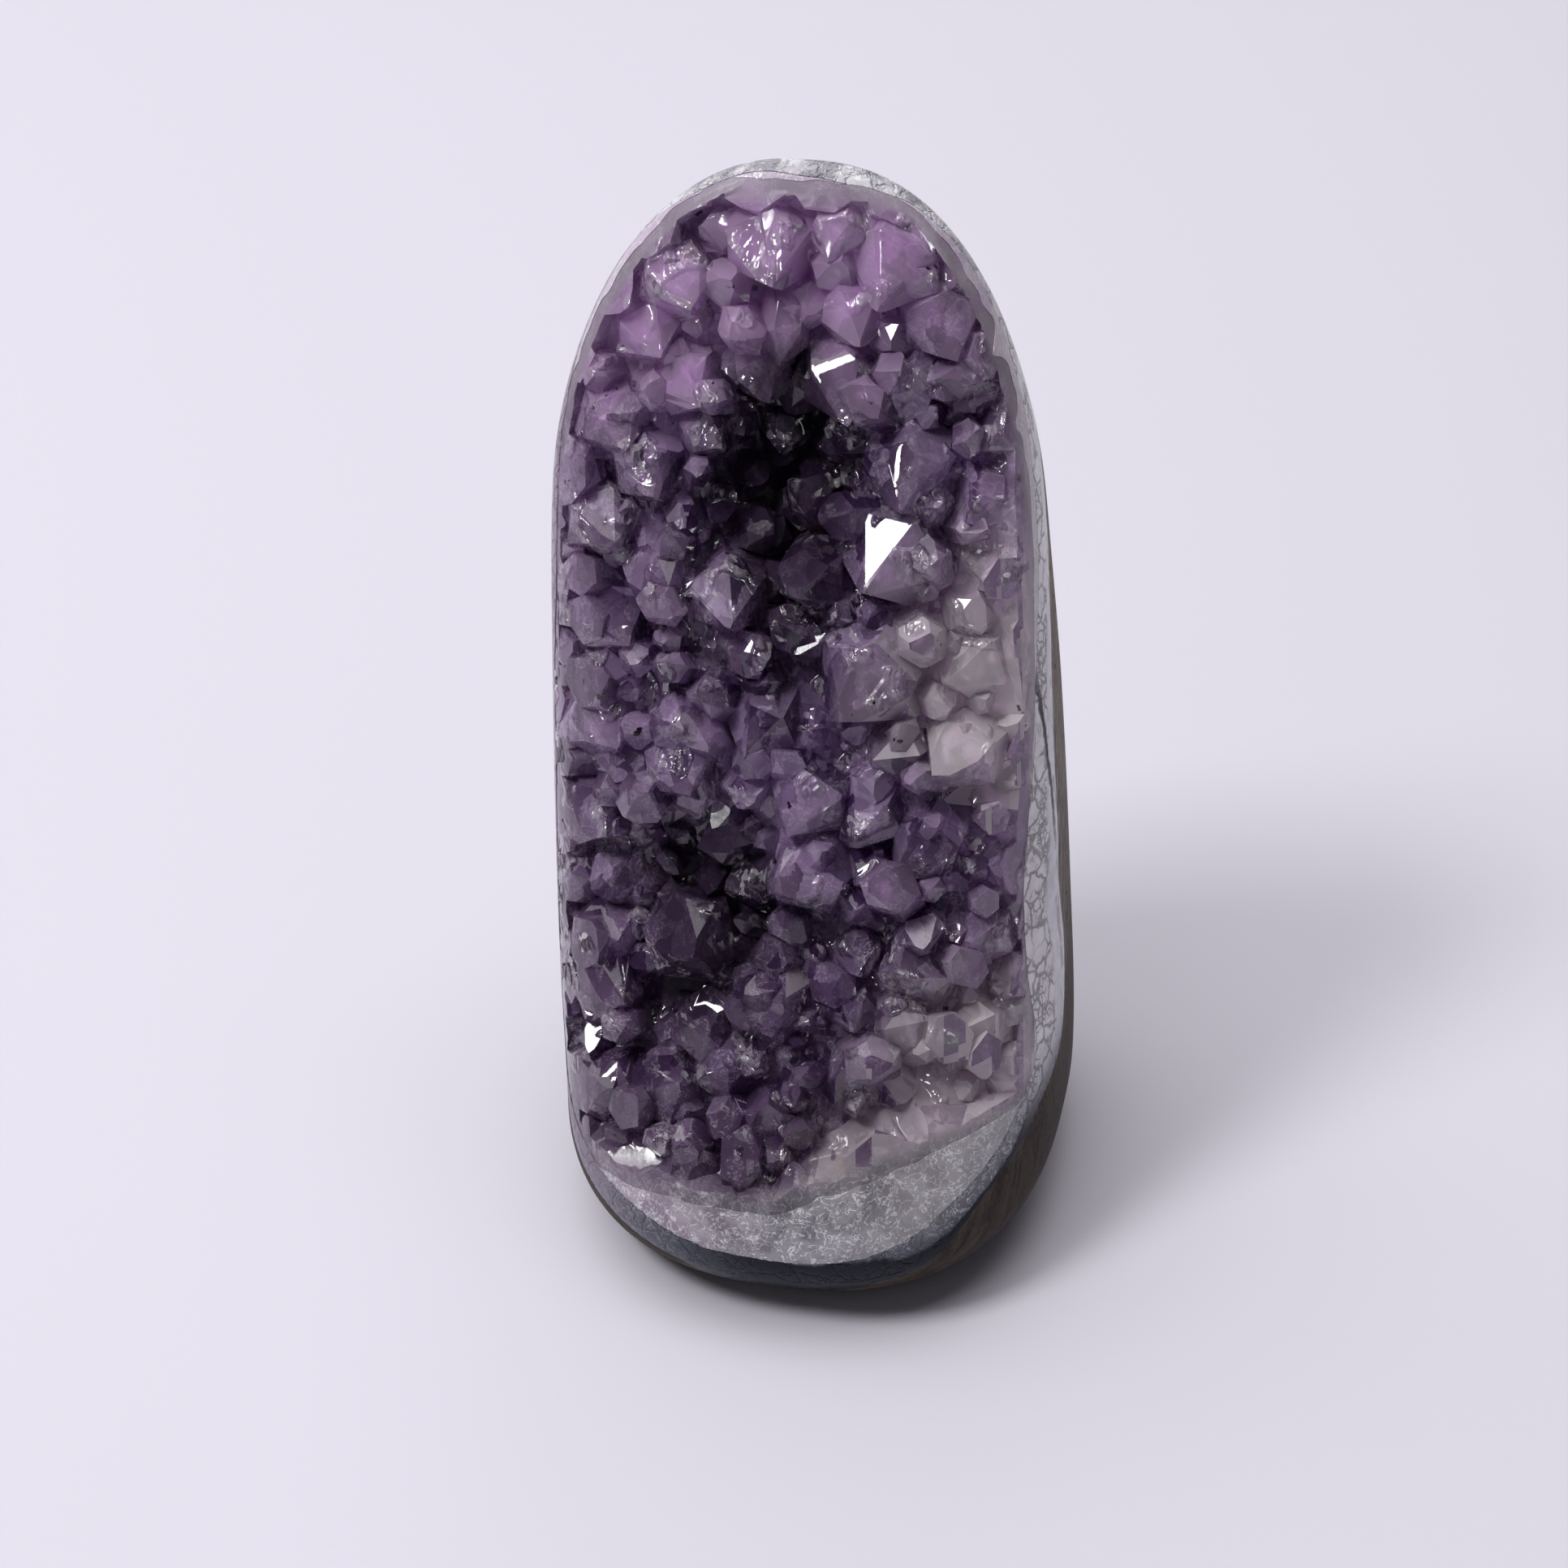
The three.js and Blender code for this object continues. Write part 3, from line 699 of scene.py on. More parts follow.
def grow_tree():
    """Small crystals grown over the chosen faces of a bed, and joined with it."""
    t, given = new_tree("grow crystals", (
        ("Stout crystal", "Object"),
        ("Slender crystal", "Object"),
        ("Joined with", "Object"),
        ("Smallest", "Float"),
        ("Largest", "Float"),
        ("Apart", "Float"),
        ("Per square metre", "Float"),
        ("Tilt", "Float"),
        ("Seed", "Int"),
        ("Material", "Material"),
    ))
    seed = given["Seed"]
    grows = t.node("GeometryNodeInputNamedAttribute", {"data_type": "FLOAT"}, Name="grows")
    spots = t.node(
        "GeometryNodeDistributePointsOnFaces", {"distribute_method": "POISSON"},
        Mesh=given["Geometry"], Distance_Min=given["Apart"], Density_Max=given["Per square metre"],
        Density_Factor=grows.outputs["Attribute"], Seed=seed,
    )
    forms = t.node("GeometryNodeGeometryToInstance")
    for name in ("Slender crystal", "Stout crystal"):
        form = t.node("GeometryNodeObjectInfo", Object=given[name])
        t.link(form.outputs["Geometry"], forms.inputs[0])

    number, vector = {"data_type": "FLOAT"}, {"data_type": "FLOAT_VECTOR"}
    random = "FunctionNodeRandomValue"
    size = t.node(random, number, Min=given["Smallest"], Max=given["Largest"], Seed=seed)
    stretch = t.node(random, vector, Min=(0.75, 0.75, 0.7), Max=(1.2, 1.2, 1.25), Seed=seed)
    tilt = t.node(random, vector, Min=(-1, -1, -1), Max=(1, 1, 1), Seed=seed)
    scale, lean = (
        t.node("ShaderNodeVectorMath", {"operation": "SCALE"}, Vector=way.outputs[0], Scale=much)
        for way, much in ((stretch, size.outputs[1]), (tilt, given["Tilt"]))
    )
    heading = t.node("ShaderNodeVectorMath", {"operation": "ADD"})
    t.link(spots.outputs["Normal"], heading.inputs[0])
    t.link(lean.outputs[0], heading.inputs[1])
    turn = t.node("FunctionNodeAlignRotationToVector", {"axis": "Z"}, Vector=heading.outputs[0])
    spin = t.node(random, number, Max=math.tau)
    spun = t.node("FunctionNodeAxisAngleToRotation", Angle=spin.outputs[1])
    both = t.node("FunctionNodeRotateRotation", {"rotation_space": "LOCAL"})
    t.link(turn.outputs[0], both.inputs[0])
    t.link(spun.outputs[0], both.inputs[1])
    placed = t.node(
        "GeometryNodeInstanceOnPoints", Points=spots.outputs["Points"], Instance=forms.outputs[0],
        Pick_Instance=True, Rotation=both.outputs[0], Scale=scale.outputs[0],
    )

    extra = t.node("GeometryNodeObjectInfo", Object=given["Joined with"])
    joined = t.node("GeometryNodeMeshBoolean", {"operation": "UNION", "solver": "MANIFOLD"})
    for part in (given["Geometry"], extra.outputs["Geometry"], placed.outputs[0]):
        t.link(part, joined.inputs[1])
    end_tree(t, joined.outputs["Mesh"], given["Material"])


def inner_tree():
    """The body that lies a set depth inside a solid."""
    t, given = new_tree("inner body", (
        ("Grain", "Float"),
        ("Reach", "Float"),
        ("Part", "Float"),
        ("Material", "Material"),
    ))
    volume = t.node(
        "GeometryNodeMeshToVolume", {"resolution_mode": "VOXEL_SIZE"},
        Mesh=given["Geometry"], Voxel_Size=given["Grain"], Interior_Band_Width=given["Reach"],
    )
    meshed = t.node(
        "GeometryNodeVolumeToMesh", {"resolution_mode": "GRID"},
        Volume=volume.outputs[0], Threshold=given["Part"],
    )
    end_tree(t, meshed.outputs[0], given["Material"])


def big_crystals():
    """The leading crystals and their bed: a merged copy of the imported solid."""
    obj = new_object("leading crystals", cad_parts["amethyst_druse"].data.copy())
    obj.data.materials.clear()
    tidy_mesh(obj.data, MERGE_CAD)
    return obj


def grow(obj, where, sizes, seed, **objects):
    """Grows crystals over the front of the bed where asked, and joins them with the other object."""
    smallest, largest, apart, most, tilt = sizes
    across, up, depth = to_face(points_of(obj.data))
    on_front = depth < bed(across, up) + 0.5
    below = depth - rounding(across, up)
    keep_value(obj.data, "grows", on_front * openness(across, up) * where(across, up, depth, below))
    run_tree(
        obj, "grow crystals", smallest=smallest, largest=largest, apart=apart * MM,
        per_square_metre=most, tilt=tilt, seed=seed, **objects,
    )


def crystal_mass(glass):
    """All the crystals, joined with a deep bed and not yet cut to the stone's outside."""
    grow_tree()
    leading = big_crystals()
    stout = crystal_form("stout crystal", 1.9)
    slender = crystal_form("slender crystal", 2.6)
    nothing = slab("nothing", lambda x, u: 90, lambda x, u: 91, (1, 1), across=(-1, 1), up=(-1, 1))
    shared = {"stout_crystal": stout, "slender_crystal": slender, "material": glass}

    def raised_bed(x, u):
        closed = 1 - openness(x, u)
        uneven = 1.6 * ripple(x, u, 31, 8) + 0.7 * ripple(x, u, 32, 2.5)
        return bed(x, u) - RIM_EXTRA * closed + uneven * closed * (1 - closed) * 3

    def uncrowded(across, up, depth, below):
        return ease_between(2, 5, below) * (1 - 0.05 * hollow_depth(across, up))

    def between_crystals(across, up, depth, below):
        return (1 - ease_between(1.5, 4, bed(across, up) - depth)) * ease_between(0.5, 2, below)

    stone = slab("amethyst_crystals", raised_bed, lambda x, u: bed_floor(x, u) + MASS_BEHIND, BED_CELLS)
    grow(stone, uncrowded, MEDIUM, SEED, joined_with=leading, **shared)
    grow(stone, between_crystals, SMALL, SEED + 1, joined_with=nothing, **shared)
    remove(leading, stout, slender, nothing)
    return stone


def cut_to_stone(obj, inset, back_gap):
    """Cuts crystals to the polished outside and to the layer behind them."""
    room = slab("room", lambda x, u: BEFORE_STONE, lambda x, u: bed_floor(x, u) - back_gap, BED_CELLS)
    cut(obj, "INTERSECT", room)
    cut(obj, "INTERSECT", skin("outside", inset))
    tidy_mesh(obj.data, MERGE_CRYSTALS)
    mark_stone(obj.data)


def amethyst_crystals(mass, glass):
    cut_to_stone(mass, GLASS_INSET, SEAM)
    smooth_by_angle(mass.data, 10)
    mark_facets(mass.data)
    return paint(mass, glass)


def milky_root(mass, material):
    """Milky, broken quartz inside the crystals and below them, which comes to the outside at the rim."""
    inner_tree()
    obj = new_object("milky_quartz_root", mass.data.copy())
    run_tree(
        obj, "inner body", grain=ROOT_GRAIN * MM, reach=ROOT_REACH * MM,
        part=CLEAR_DEPTH / ROOT_REACH, material=material,
    )
    cut_to_stone(obj, SKIN_INSET, SEAM + ROOT_GAP)
    smooth_by_angle(obj.data, 40)
    mark_places(obj.data, points_of(obj.data))
    return paint(obj, material)


def layer(name, front, back):
    """A layer of the stone between two depths, cut to the polished outside."""
    obj = slab(name, front, back, LAYER_CELLS)
    cut(obj, "INTERSECT", skin("outside", SKIN_INSET))
    tidy_mesh(obj.data, MERGE_LAYER)
    smooth_by_angle(obj.data, 25)
    mark_stone(obj.data)
    return obj


def fissure_blade():
    """A thin lens-shaped blade that opens the fissure in the right wall."""
    rows = FISSURE_ROWS
    points = []
    for i in range(rows + 1):
        part = i / rows
        z = FISSURE[0] + (FISSURE[1] - FISSURE[0]) * part
        uneven = 0.12 * math.sin(i * 2.4) + 0.1 * math.sin(i * 1.1 + 1)
        lens = math.sin(math.pi * min(max(part, 0.02), 0.98)) ** 0.6
        half = FISSURE_HALF_WIDTH * lens * (1 + 0.35 * math.sin(i * 1.7))
        y = FISSURE_Y + FISSURE_LEAN * (z - FISSURE[0]) + uneven
        inner = WALL_X - WALL_LEAN * (z - WALL_Z) - FISSURE_DEPTH
        points += [(inner, y, z)] + [(BLOCK_ACROSS[1], y + side * half * 2, z) for side in (-1, 1)]
    faces = [(0, 1, 2), (3 * rows, 3 * rows + 2, 3 * rows + 1)]
    for i in range(rows):
        for a, b in ((0, 1), (1, 2), (2, 0)):
            faces.append((3 * i + b, 3 * i + a, 3 * i + 3 + a, 3 * i + 3 + b))
    return mesh_from("blade", points, faces)


def agate_band(material):
    obj = layer(
        "polished_agate", lambda x, u: bed_floor(x, u) + SEAM, lambda x, u: agate_floor(x, u) - SEAM,
    )
    cut(obj, "DIFFERENCE", fissure_blade())
    return paint(obj, material)


def basalt_back(material):
    obj = layer("basalt_back", lambda x, u: agate_floor(x, u) + SEAM, lambda x, u: BEHIND_STONE)
    return paint(obj, material)


# ------------------------------
# Materials
# ------------------------------


def plain_material(name):
    material = bpy.data.materials.new(name)
    material.use_nodes = True
    return material, Tree(material.node_tree), material.node_tree.nodes["Principled BSDF"]


def shared_group(name, inputs, outputs):
    """A shader group with named inputs and outputs, and a Tree to fill it with."""
    tree = bpy.data.node_groups.new(name, "ShaderNodeTree")
    for in_out, sockets in (("INPUT", inputs), ("OUTPUT", outputs)):
        for label, kind in sockets:
            tree.interface.new_socket(name=label, in_out=in_out, socket_type="NodeSocket" + kind)
    t = Tree(tree)
    return t, t.node("NodeGroupInput").outputs, t.node("NodeGroupOutput").inputs


def crack_network():
    """Cracks between angular cells, large and small, that come and go in patches."""
    t, given, out = shared_group(
        "crack network",
        (("Place", "Vector"), ("Width", "Float"), ("Spread", "Float")),
        (("Cracks", "Float"),),
    )
    width, start = given["Width"], given["Spread"]
    bent = t.warped(given["Place"], 1.4, 1.6)
    wide = t.spread(t.cell_edges(bent, 3.4), 0.0, width, 1.0, 0.0)
    fine = t.spread(t.cell_edges(bent, 1.5), 0.0, width, 0.9, 0.0)
    patch = t.noise(given["Place"], 8, 2)
    here = t.spread(patch, start, t.plus(start, 0.1), 1.0, 0.25)
    crowded = t.spread(patch, t.minus(start, 0.14), t.minus(start, 0.04), 1.0, 0.0)
    both = t.math("MAXIMUM", wide, t.times(fine, crowded))
    t.link(t.times(both, here), out["Cracks"])


def frost_veins():
    """White squiggles of healed fractures in milky quartz."""
    t, given, out = shared_group(
        "frost veins",
        (("Place", "Vector"), ("Amount", "Float")),
        (("Veins", "Float"), ("Haze", "Float")),
    )
    bent = t.warped(given["Place"], 2.0, 3.4)
    squiggle = t.math("ABSOLUTE", t.minus(t.noise(bent, 1.5, 2, 0.6), 0.5))
    line = t.spread(squiggle, 0.0, 0.045, 1.0, 0.0)
    haze = t.noise(given["Place"], 4, 3, 0.6)
    t.link(t.times(line, t.spread(haze, t.minus(0.8, given["Amount"]), 0.7)), out["Veins"])
    t.link(haze, out["Haze"])


def inner_planes():
    """Planes and breaks inside a crystal, as crisp patches of differing tone."""
    t, given, out = shared_group(
        "inner planes",
        (("Place", "Vector"),),
        (("Tone", "Float"), ("Splinter", "Float"), ("Height", "Float")),
    )
    stretched = t.mapped(t.warped(given["Place"], 2.4, 2.6), Scale=(1.0, 0.8, 0.55))
    large, small = (
        t.node("ShaderNodeTexVoronoi", Vector=stretched, Scale=1 / size).outputs for size in (2.6, 0.85)
    )
    for made, name in ((large, "Tone"), (small, "Splinter")):
        t.link(t.node("ShaderNodeSeparateColor", Color=made["Color"]).outputs[0], out[name])
    t.link(t.plus(t.times(large["Distance"], 2.0), small["Distance"]), out["Height"])


def rim_quartz():
    """Milky quartz of the cut rim: lilac at the left, grey with white veins below, whitish at the right."""
    t, given, out = shared_group(
        "rim quartz",
        (("Place", "Vector"),),
        (("Color", "Color"), ("Veins", "Float"), ("Haze", "Float")),
    )
    place = given["Place"]
    veins = t.group("frost veins", Place=place, Amount=0.68)
    across, _, up = t.axes(place)
    color = t.mix(t.spread(across, -26, 4), (0.3, 0.21, 0.32), (0.19, 0.175, 0.2))
    color = t.mix(t.spread(across, 8, 26), color, (0.33, 0.31, 0.32))
    pale = t.mix(t.spread(across, 20, 34), (0.52, 0.45, 0.52), (0.8, 0.72, 0.79))
    color = t.mix(t.spread(up, 24, 50), color, pale)
    left = t.times(t.spread(across, -33, -24, 0.9, 0.0), t.spread(up, 14, 30))
    color = t.mix(left, color, (0.26, 0.17, 0.28))
    color = t.mix(t.spread(up, 112, 128), color, (0.58, 0.46, 0.61))
    cloudy = t.noise(place, 9, 2)
    milkiness = t.times(t.spread(cloudy, 0.4, 0.62, 0.0, 0.6), t.spread(up, 26, 60, 0.3, 1.0))
    color = t.mix(milkiness, color, (0.72, 0.66, 0.72))
    color = t.mix(t.spread(veins["Haze"], 0.42, 0.62, 0.0, 0.4), color, (0.66, 0.63, 0.66))
    silver = t.times(veins["Veins"], t.spread(up, 34, 50, 0.95, 0.55))
    t.link(t.mix(silver, color, (0.95, 0.94, 0.97)), out["Color"])
    for name in ("Veins", "Haze"):
        t.link(veins[name], out[name])


BROKEN_PLACES = (
    (-25, 16, 106, 5),
    (-17, 18, 117, 5),
    (14, 17, 108, 6),
    (24, 14, 103, 6),
    (0, -4, 52, 6),
    (5, -8, 45, 4.5),
    (6, -14, 38, 5),
    (7, -18, 30, 5),
    (8, -23, 26, 4),
    (-10, 2, 72, 5),
    (-34, 4, 68, 3.5),
    (-26, -2, 58, 3.5),
    (0, 10, 90, 4),
    (-17, -30, 20, 4),
    (-2, -33, 22, 5),
    (22, 6, 84, 5),
    (10.5, 10, 102, 5),
)
PALE_PLACES = (
    (-4, 27, 140, 26),
    (-24, 23, 128, 16),
    (25, 7, 88, 20),
    (30, 5, 76, 12),
    (29, -18, 34, 23),
    (25, 13, 103, 9),
    (14, -30, 26, 14),
    (-24, -28, 12, 13),
)
DEEP_PLACES = (
    (-6, -24, 36, 32),
    (-24, -20, 30, 22),
    (-27, -8, 62, 18),
    (8, 8, 80, 12),
)
STAINED_PLACES = (
    (-20, 26, 139, 2.5),
    (9, -30, 27, 3),
    (-30, 12, 96, 2),
    (13, -24, 34, 2),
    (-9, -2, 48, 2),
)


def amethyst_glass():
    """Violet quartz: clear and deep where it is whole, pale near the rim, with whitish splinters and
    painted glints where it is broken, and painted shade in the hollows and towards the bottom.
    """
    material, t, surface = plain_material("amethyst")
    place = t.millimetres()
    facet, region, hollow, below = (t.value(name) for name in ("facet", "region", "hollow", "below"))
    pale, broken, opened = (t.value(name) for name in ("pale", "broken", "open"))
    planes = t.group("inner planes", Place=place)
    milky = t.group("rim quartz", Place=place)
    haze = milky["Haze"]
    up = t.axes(place)["Z"]

    tone = t.math("MULTIPLY_ADD", planes["Tone"], 0.45, t.times(region, 0.3))
    tone = t.plus(tone, t.times(facet, 0.35))
    color = t.mix(t.spread(tone, 0.28, 0.82), (0.08, 0.035, 0.13), (0.58, 0.4, 0.69))
    color = t.mix(t.spread(below, 0.5, 5, 0.5, 0.0), color, (0.6, 0.42, 0.62))
    light = t.mix(t.spread(up, 92, 112), (1.0, 0.91, 0.94), (0.78, 0.54, 0.84))
    color = t.mix(t.times(pale, t.spread(tone, 0.1, 0.6, 0.65, 1.0)), color, light)
    color = t.mix(t.times(t.value("deep"), 0.4), color, (0.1, 0.045, 0.13))
    shaded = t.times(t.spread(up, 30, 66, 0.35, 0.0), t.minus(1.0, pale))
    color = t.mix(shaded, color, (0.08, 0.035, 0.11))
    # Painted shade: darker in the hollows, where the deep floor lies in shade.
    color = t.mix(t.spread(hollow, 0.12, 0.55, 0.0, 0.87), color, (0.05, 0.026, 0.066))

    loose = t.spread(t.noise(place, 6, 1), 0.56, 0.65)
    broken = t.times(t.math("MAXIMUM", broken, t.times(loose, 0.8)), opened)
    # Painted glints: splinters in the broken places are painted near white, partly the white of real
    # fractures and partly painted sparkle.
    glint = t.times(broken, t.spread(planes["Splinter"], 0.5, 0.85, 0.0, 0.85))
    color = t.mix(glint, color, (0.93, 0.88, 0.95))
    lines = t.times(milky["Veins"], t.spread(planes["Tone"], 0.35, 0.75, 0.05, 0.75))
    # The white lines fade out in the hollows, to keep the painted shade there.
    color = t.mix(t.times(lines, t.spread(hollow, 0.1, 0.6, 1.0, 0.2)), color, (0.86, 0.78, 0.9))
    color = t.mix(t.spread(opened, 0.1, 0.75, 1.0, 0.0), color, milky["Color"])
    stain = t.times(t.spots(place, STAINED_PLACES), t.spread(haze, 0.45, 0.6))
    color = t.mix(t.times(stain, 0.6), color, (0.5, 0.34, 0.24))
    speck = t.times(t.spread(haze, 0.7, 0.73), opened)
    color = t.mix(speck, color, (0.012, 0.01, 0.012))

    matte = t.spread(facet, 0.82, 0.97, 0.0, 0.25)
    rough = t.plus(t.spread(planes["Tone"], 0.3, 0.9, 0.02, 0.1), matte)
    fine = t.relief(haze, 0.05)
    t.put(
        surface, Base_Color=color, IOR=1.544, Transmission_Weight=0.62,
        Roughness=t.plus(rough, t.spread(opened, 0.35, 0.95, 0.38, 0.0)),
        Normal=t.relief(t.times(broken, planes["Height"]), 0.3, normal=fine),
    )
    absorb = t.node("ShaderNodeVolumeAbsorption", Color=(0.66, 0.38, 0.72), Density=100)
    t.link(absorb.outputs[0], material.node_tree.nodes["Material Output"].inputs["Volume"])
    return material


def milky_quartz():
    """Milky quartz: veined and whitish at the rim, broken violet in the middle, with painted shade in the
    hollows.
    """
    material, t, surface = plain_material("milky quartz")
    place = t.millimetres()
    hollow, opened, pale, broken = (t.value(name) for name in ("hollow", "open", "pale", "broken"))
    planes = t.group("inner planes", Place=place)
    milky = t.group("rim quartz", Place=place)
    cloud = t.noise(place, 9, 1)
    tone = t.plus(planes["Tone"], t.spread(cloud, 0.35, 0.65, -0.3, 0.2))
    color = t.mix(t.spread(tone, 0.3, 1.05), (0.025, 0.011, 0.035), (0.5, 0.32, 0.54))
    light = t.mix(t.spread(t.axes(place)["Z"], 92, 112), (0.9, 0.84, 0.86), (0.85, 0.6, 0.92))
    color = t.mix(t.times(pale, t.spread(tone, 0.1, 0.8, 0.2, 0.9)), color, light)
    splinter = t.spread(planes["Splinter"], 0.76, 0.92)
    color = t.mix(t.times(splinter, t.spread(broken, 0.0, 1.0, 0.6, 1.0)), color, (0.93, 0.87, 0.94))
    color = t.mix(t.times(t.value("deep"), 0.5), color, (0.03, 0.015, 0.04))
    # Painted shade: darker in the hollows, where the deep floor lies in shade.
    color = t.mix(t.spread(hollow, 0.1, 0.5, 0.0, 0.87), color, (0.032, 0.017, 0.042))
    color = t.mix(t.spread(opened, 0.1, 0.75, 1.0, 0.0), color, milky["Color"])
    stain = t.times(t.spots(place, STAINED_PLACES), t.spread(milky["Haze"], 0.45, 0.6))
    color = t.mix(t.times(stain, 0.6), color, (0.55, 0.4, 0.3))
    raised = t.times(planes["Height"], t.spread(opened, 0.1, 0.6, 0.1, 1.0))
    t.put(
        surface, Base_Color=color, Roughness=t.spread(planes["Tone"], 0.3, 0.7, 0.15, 0.4),
        Normal=t.relief(t.plus(raised, t.times(milky["Veins"], 0.12)), 0.5),
    )
    return material


def near_fissure(t, place):
    """1 along the fissure in the right wall, 0 away from it."""
    across, deep, up = t.axes(place)
    low, high = FISSURE
    line = t.math("MULTIPLY_ADD", up, FISSURE_LEAN, FISSURE_Y - FISSURE_LEAN * low)
    line = t.plus(line, t.spread(t.noise(place, 2.5, 2), 0.0, 1.0, -0.7, 0.7, "LINEAR"))
    beside = t.math("ABSOLUTE", t.minus(deep, line))
    middle = t.times(t.spread(up, low - 3, low + 7), t.spread(up, high - 10, high + 6, 1.0, 0.0))
    near = t.times(t.spread(beside, 0.3, 0.7, 1.0, 0.0), t.spread(across, 0, 10))
    return t.times(near, middle)


def agate():
    """Polished agate: cracked and whitish inside, then a smooth grey-blue band, blue-black at the foot."""
    material, t, surface = plain_material("agate")
    place = t.millimetres()
    across, _, up = t.axes(place)
    wander = t.spread(t.noise(place, 6, 3), 0.0, 1.0, -0.18, 0.18, "LINEAR")
    band = t.plus(t.value("band"), wander)
    cracks = t.group("crack network", Place=place, Width=0.1, Spread=0.55)
    veins = t.group("frost veins", Place=place, Amount=0.6)
    haze = veins["Haze"]

    white = t.mix(t.spread(haze, 0.3, 0.7), (0.78, 0.74, 0.79), (0.96, 0.93, 0.97))
    blue = t.mix(t.spread(haze, 0.3, 0.7), (0.66, 0.66, 0.71), (0.86, 0.85, 0.9))
    inner = t.spread(band, 0.52, 0.64)
    color = t.mix(inner, white, blue)
    cracked = t.times(cracks["Cracks"], t.minus(1.0, inner))
    color = t.mix(t.times(cracked, 0.8), color, (0.22, 0.19, 0.19))
    streaks = t.noise(t.millimetres(stretch=(1, 1, 0.16)), 1.3, 3, 0.6)
    outer = t.times(t.spread(band, 0.78, 0.86), t.spread(streaks, 0.5, 0.6))
    color = t.mix(t.times(outer, 0.7), color, (0.22, 0.2, 0.19))
    fissure = near_fissure(t, place)
    # Painted shade: the fissure is painted near black, as the shade inside its cut groove.
    color = t.mix(fissure, color, (0.01, 0.009, 0.012))

    foot = t.spread(up, 22, 34, 1.0, 0.0)
    frosty = t.mix(t.times(veins["Veins"], 0.9), (0.2, 0.2, 0.23), (0.75, 0.75, 0.8))
    dark = t.minus(band, t.spread(across, 9, 32, 0.0, 0.55))
    bluish = t.times(t.spread(dark, -0.3, 0.1, 0.0, 0.8), t.spread(across, -28, -8, 0.2, 1.0))
    frosty = t.mix(t.spread(across, -30, -14, 0.7, 0.0), frosty, (0.3, 0.23, 0.32))
    frosty = t.mix(bluish, frosty, (0.04, 0.05, 0.08))
    black = t.times(t.spread(dark, -0.04, 0.06), t.spread(across, -16, 0))
    color = t.mix(foot, color, t.mix(black, frosty, (0.01, 0.013, 0.022)))
    crown = t.mix(t.spread(haze, 0.4, 0.62), (0.36, 0.34, 0.39), (0.7, 0.68, 0.73))
    crown = t.mix(t.times(veins["Veins"], 0.8), crown, (0.95, 0.95, 0.97))
    color = t.mix(t.spread(up, 126, 136), color, crown)
    leftmost = t.times(t.spread(across, -33, -28, 0.85, 0.0), t.spread(up, 22, 36))
    color = t.mix(leftmost, color, (0.2, 0.14, 0.22))
    sunk = t.minus(1.0, t.math("MAXIMUM", cracked, fissure))
    t.put(
        surface, Base_Color=color, Specular_IOR_Level=0.16,
        Roughness=t.plus(t.spread(haze, 0.3, 0.7, 0.1, 0.28), t.times(foot, 0.15)),
        Normal=t.relief(sunk, 0.2, normal=t.relief(haze, 0.08)),
    )
    return material


def basalt():
    """Rough brown-grey rock, streaked along its layers and pitted, with painted shade towards the bottom.
    """
    material, t, surface = plain_material("basalt")
    place = t.millimetres()
    layered = t.millimetres(turn=LEAN, stretch=(0.35, 1.6, 0.3))
    streak = t.noise(t.warped(layered, 6, 3), 2.4, 4, 0.65)
    cloud = t.noise(place, 14, 3, 0.6)
    grain = t.noise(place, 0.9, 2, 0.7)
    color = t.mix(t.spread(streak, 0.35, 0.65), (0.07, 0.052, 0.042), (0.33, 0.28, 0.24))
    color = t.mix(t.spread(cloud, 0.4, 0.7, 0.0, 0.6), color, (0.22, 0.175, 0.135))
    color = t.mix(t.spread(grain, 0.45, 0.75, 0.0, 0.35), color, (0.45, 0.42, 0.38))
    pits = t.spread(t.cell_edges(t.warped(place, 3, 2), 2.6), 0.3, 0.42)
    pits = t.times(pits, t.spread(cloud, 0.5, 0.6))
    color = t.mix(t.times(pits, 0.8), color, (0.045, 0.036, 0.032))
    near = t.spread(t.value("band"), 1.0, 1.35, 0.5, 0.0)
    color = t.mix(t.times(near, t.spread(streak, 0.4, 0.6)), color, (0.5, 0.48, 0.47))
    # Painted shade: darker towards the bottom, where the back lies in shade.
    color = t.mix(t.spread(t.axes(place)["Z"], 16, 66, 0.78, 0.0), color, (0.03, 0.021, 0.018))
    uneven = t.minus(t.plus(streak, t.times(grain, 0.4)), pits)
    t.put(
        surface, Base_Color=color, Roughness=t.spread(streak, 0.3, 0.7, 0.35, 0.6),
        Normal=t.relief(uneven, 0.35), Specular_IOR_Level=0.03,
    )
    return material


# ------------------------------
# Stage
# ------------------------------

CAMERA_AIM = (-3.1, 0, 69)
CAMERA_TURN = math.radians(9)
CAMERA_RISE = math.radians(40)
CAMERA_AWAY = 520
CAMERA_ANGLE = math.radians(23.8)
FLOOR_HALF = 3.0


def camera():
    data = bpy.data.cameras.new("camera")
    data.sensor_width = 36
    data.sensor_fit = "HORIZONTAL"
    data.angle = CAMERA_ANGLE
    data.clip_start = 0.01
    obj = new_object("camera", data)
    back = Vector((
        math.sin(CAMERA_TURN) * math.cos(CAMERA_RISE),
        -math.cos(CAMERA_TURN) * math.cos(CAMERA_RISE),
        math.sin(CAMERA_RISE),
    ))
    obj.location = (Vector(CAMERA_AIM) + back * CAMERA_AWAY) * MM
    obj.rotation_euler = back.to_track_quat("Z", "Y").to_euler()
    bpy.context.scene.camera = obj


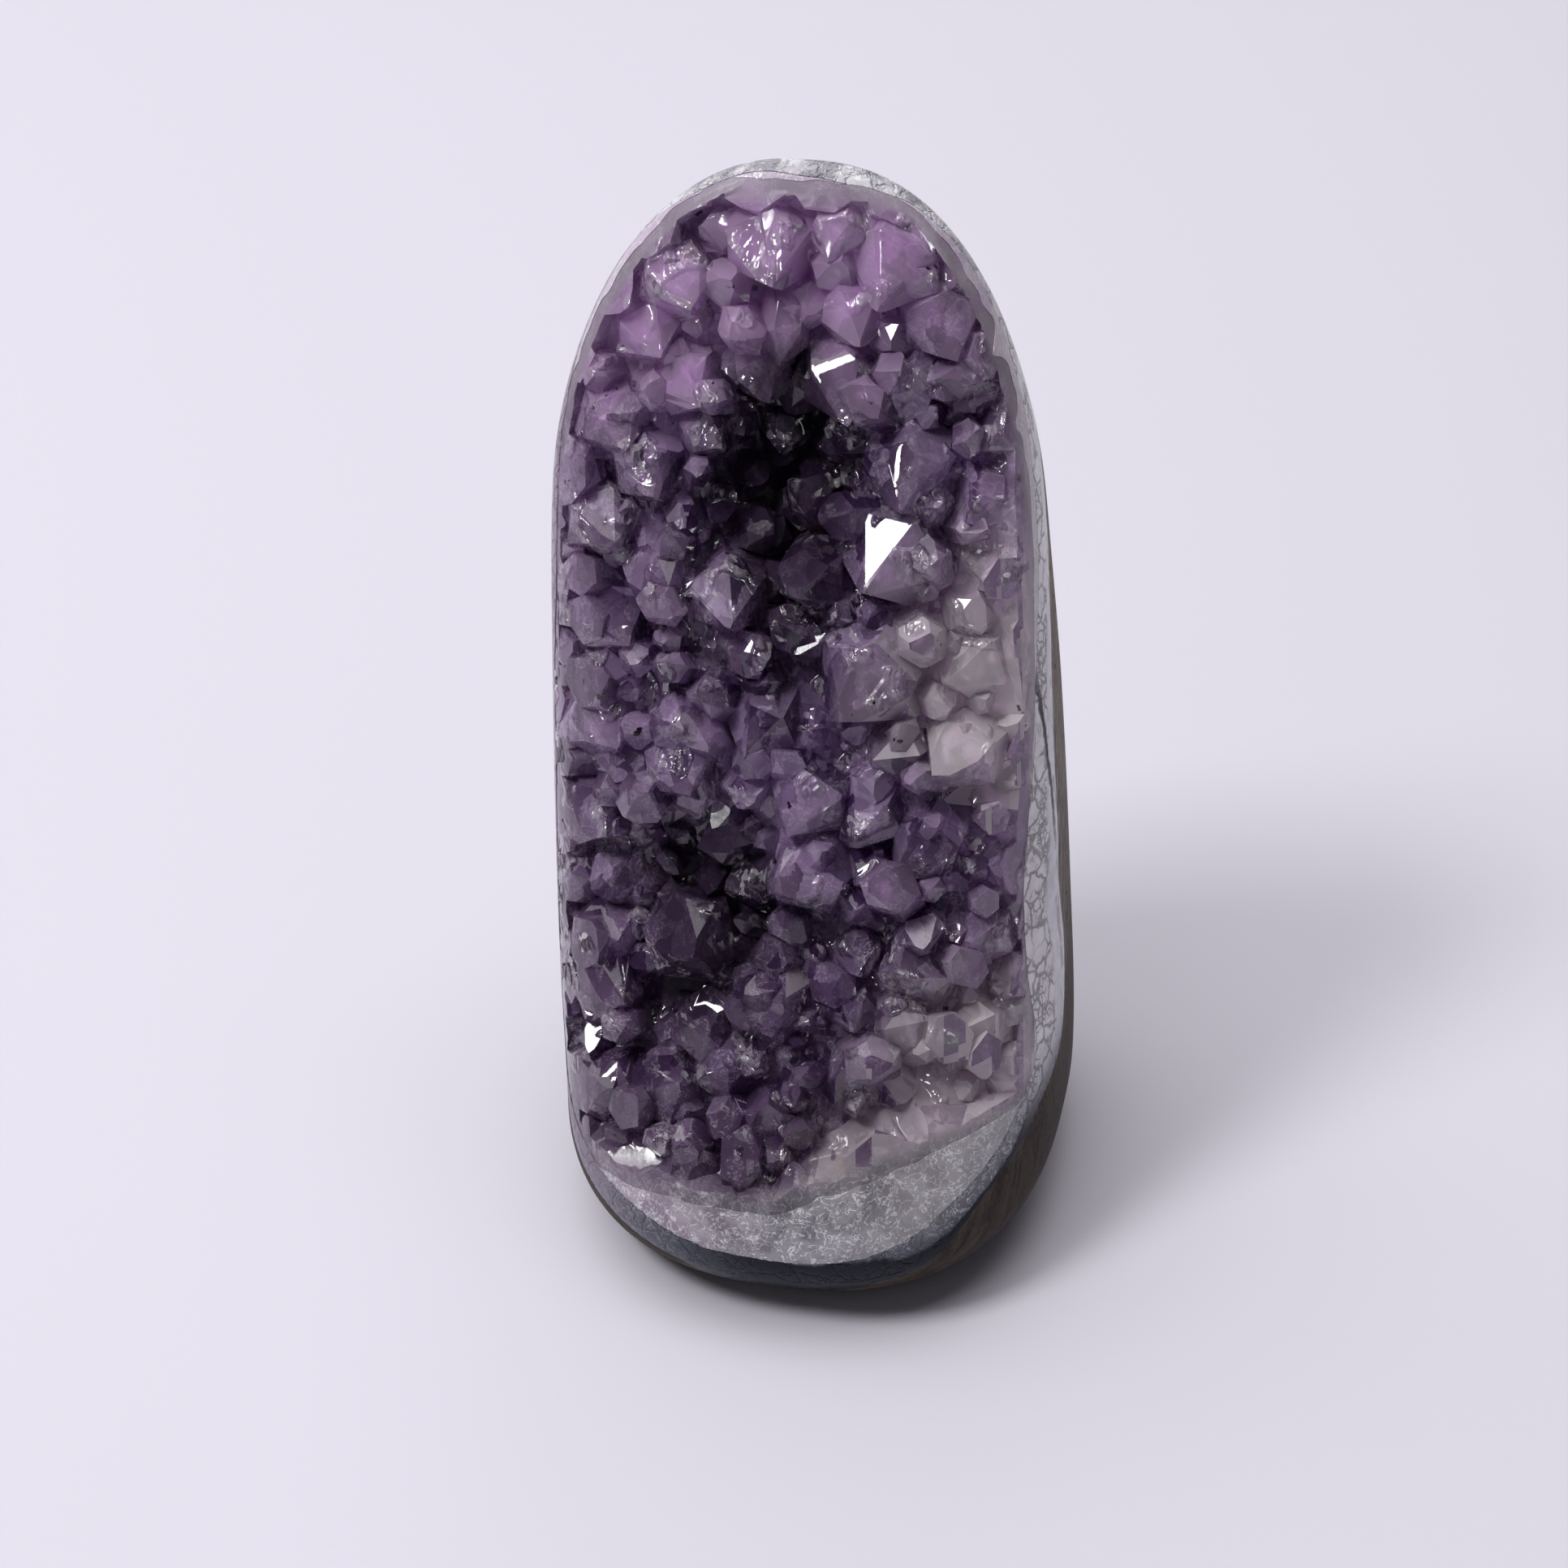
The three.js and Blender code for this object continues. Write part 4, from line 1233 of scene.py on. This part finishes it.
def soft_light(name, place, aim, size, power, color=(1, 1, 1), glints_only=False):
    data = bpy.data.lights.new(name, "AREA")
    data.shape = "RECTANGLE"
    data.size, data.size_y = size
    data.energy = power
    data.color = color
    obj = new_object(name, data)
    obj.location = place
    obj.rotation_euler = (Vector(place) - Vector(aim)).to_track_quat("Z", "Y").to_euler()
    if glints_only:
        obj.visible_diffuse = False
        obj.visible_transmission = False


def floor():
    mesh = bpy.data.meshes.new("floor")
    corners = [(x * FLOOR_HALF, y * FLOOR_HALF, 0) for x, y in ((-1, -1), (1, -1), (1, 1), (-1, 1))]
    mesh.from_pydata(corners, [], [(0, 1, 2, 3)])
    material, t, surface = plain_material("pale floor")
    t.put(surface, Base_Color=(0.74, 0.715, 0.8), Roughness=0.8)
    mesh.materials.append(material)
    new_object("floor", mesh)


def daylight():
    world = bpy.data.worlds.new("soft daylight")
    world.use_nodes = True
    bpy.context.scene.world = world
    back = world.node_tree.nodes["Background"]
    back.inputs["Color"].default_value = (0.9, 0.9, 1.0, 1)
    back.inputs["Strength"].default_value = 0.08


camera()
floor()
daylight()
soft_light("ceiling", (-0.35, 0.5, 1.7), (0, 0, 0), (2.2, 2.2), 32, (1.0, 0.985, 1.0))
soft_light("window", (-0.75, -0.35, 1.25), (0, 0, 0.06), (0.36, 0.36), 9)
soft_light("glint left", (-0.6, -0.75, 0.55), (0, 0, 0.08), (0.2, 0.2), 3.4, glints_only=True)
soft_light("glint right", (0.85, -0.35, 0.9), (0, 0, 0.08), (0.22, 0.22), 2.6, glints_only=True)
soft_light("glint above", (0.15, -0.15, 1.3), (0, 0, 0.08), (0.22, 0.22), 4, glints_only=True)
bpy.context.scene.view_settings.view_transform = "Standard"

crack_network()
frost_veins()
inner_planes()
rim_quartz()
glass = amethyst_glass()
mass = crystal_mass(glass)
root = milky_root(mass, milky_quartz())
crystals = amethyst_crystals(mass, glass)
band = agate_band(agate())
back = basalt_back(basalt())

for piece, node, slot in (
    (crystals, "amethyst_druse", "amethyst"),
    (root, "amethyst_druse", "amethyst"),
    (band, "agate_band", "agate"),
    (back, "basalt_matrix", "basalt"),
):
    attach(piece, "root")
    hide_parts(node)
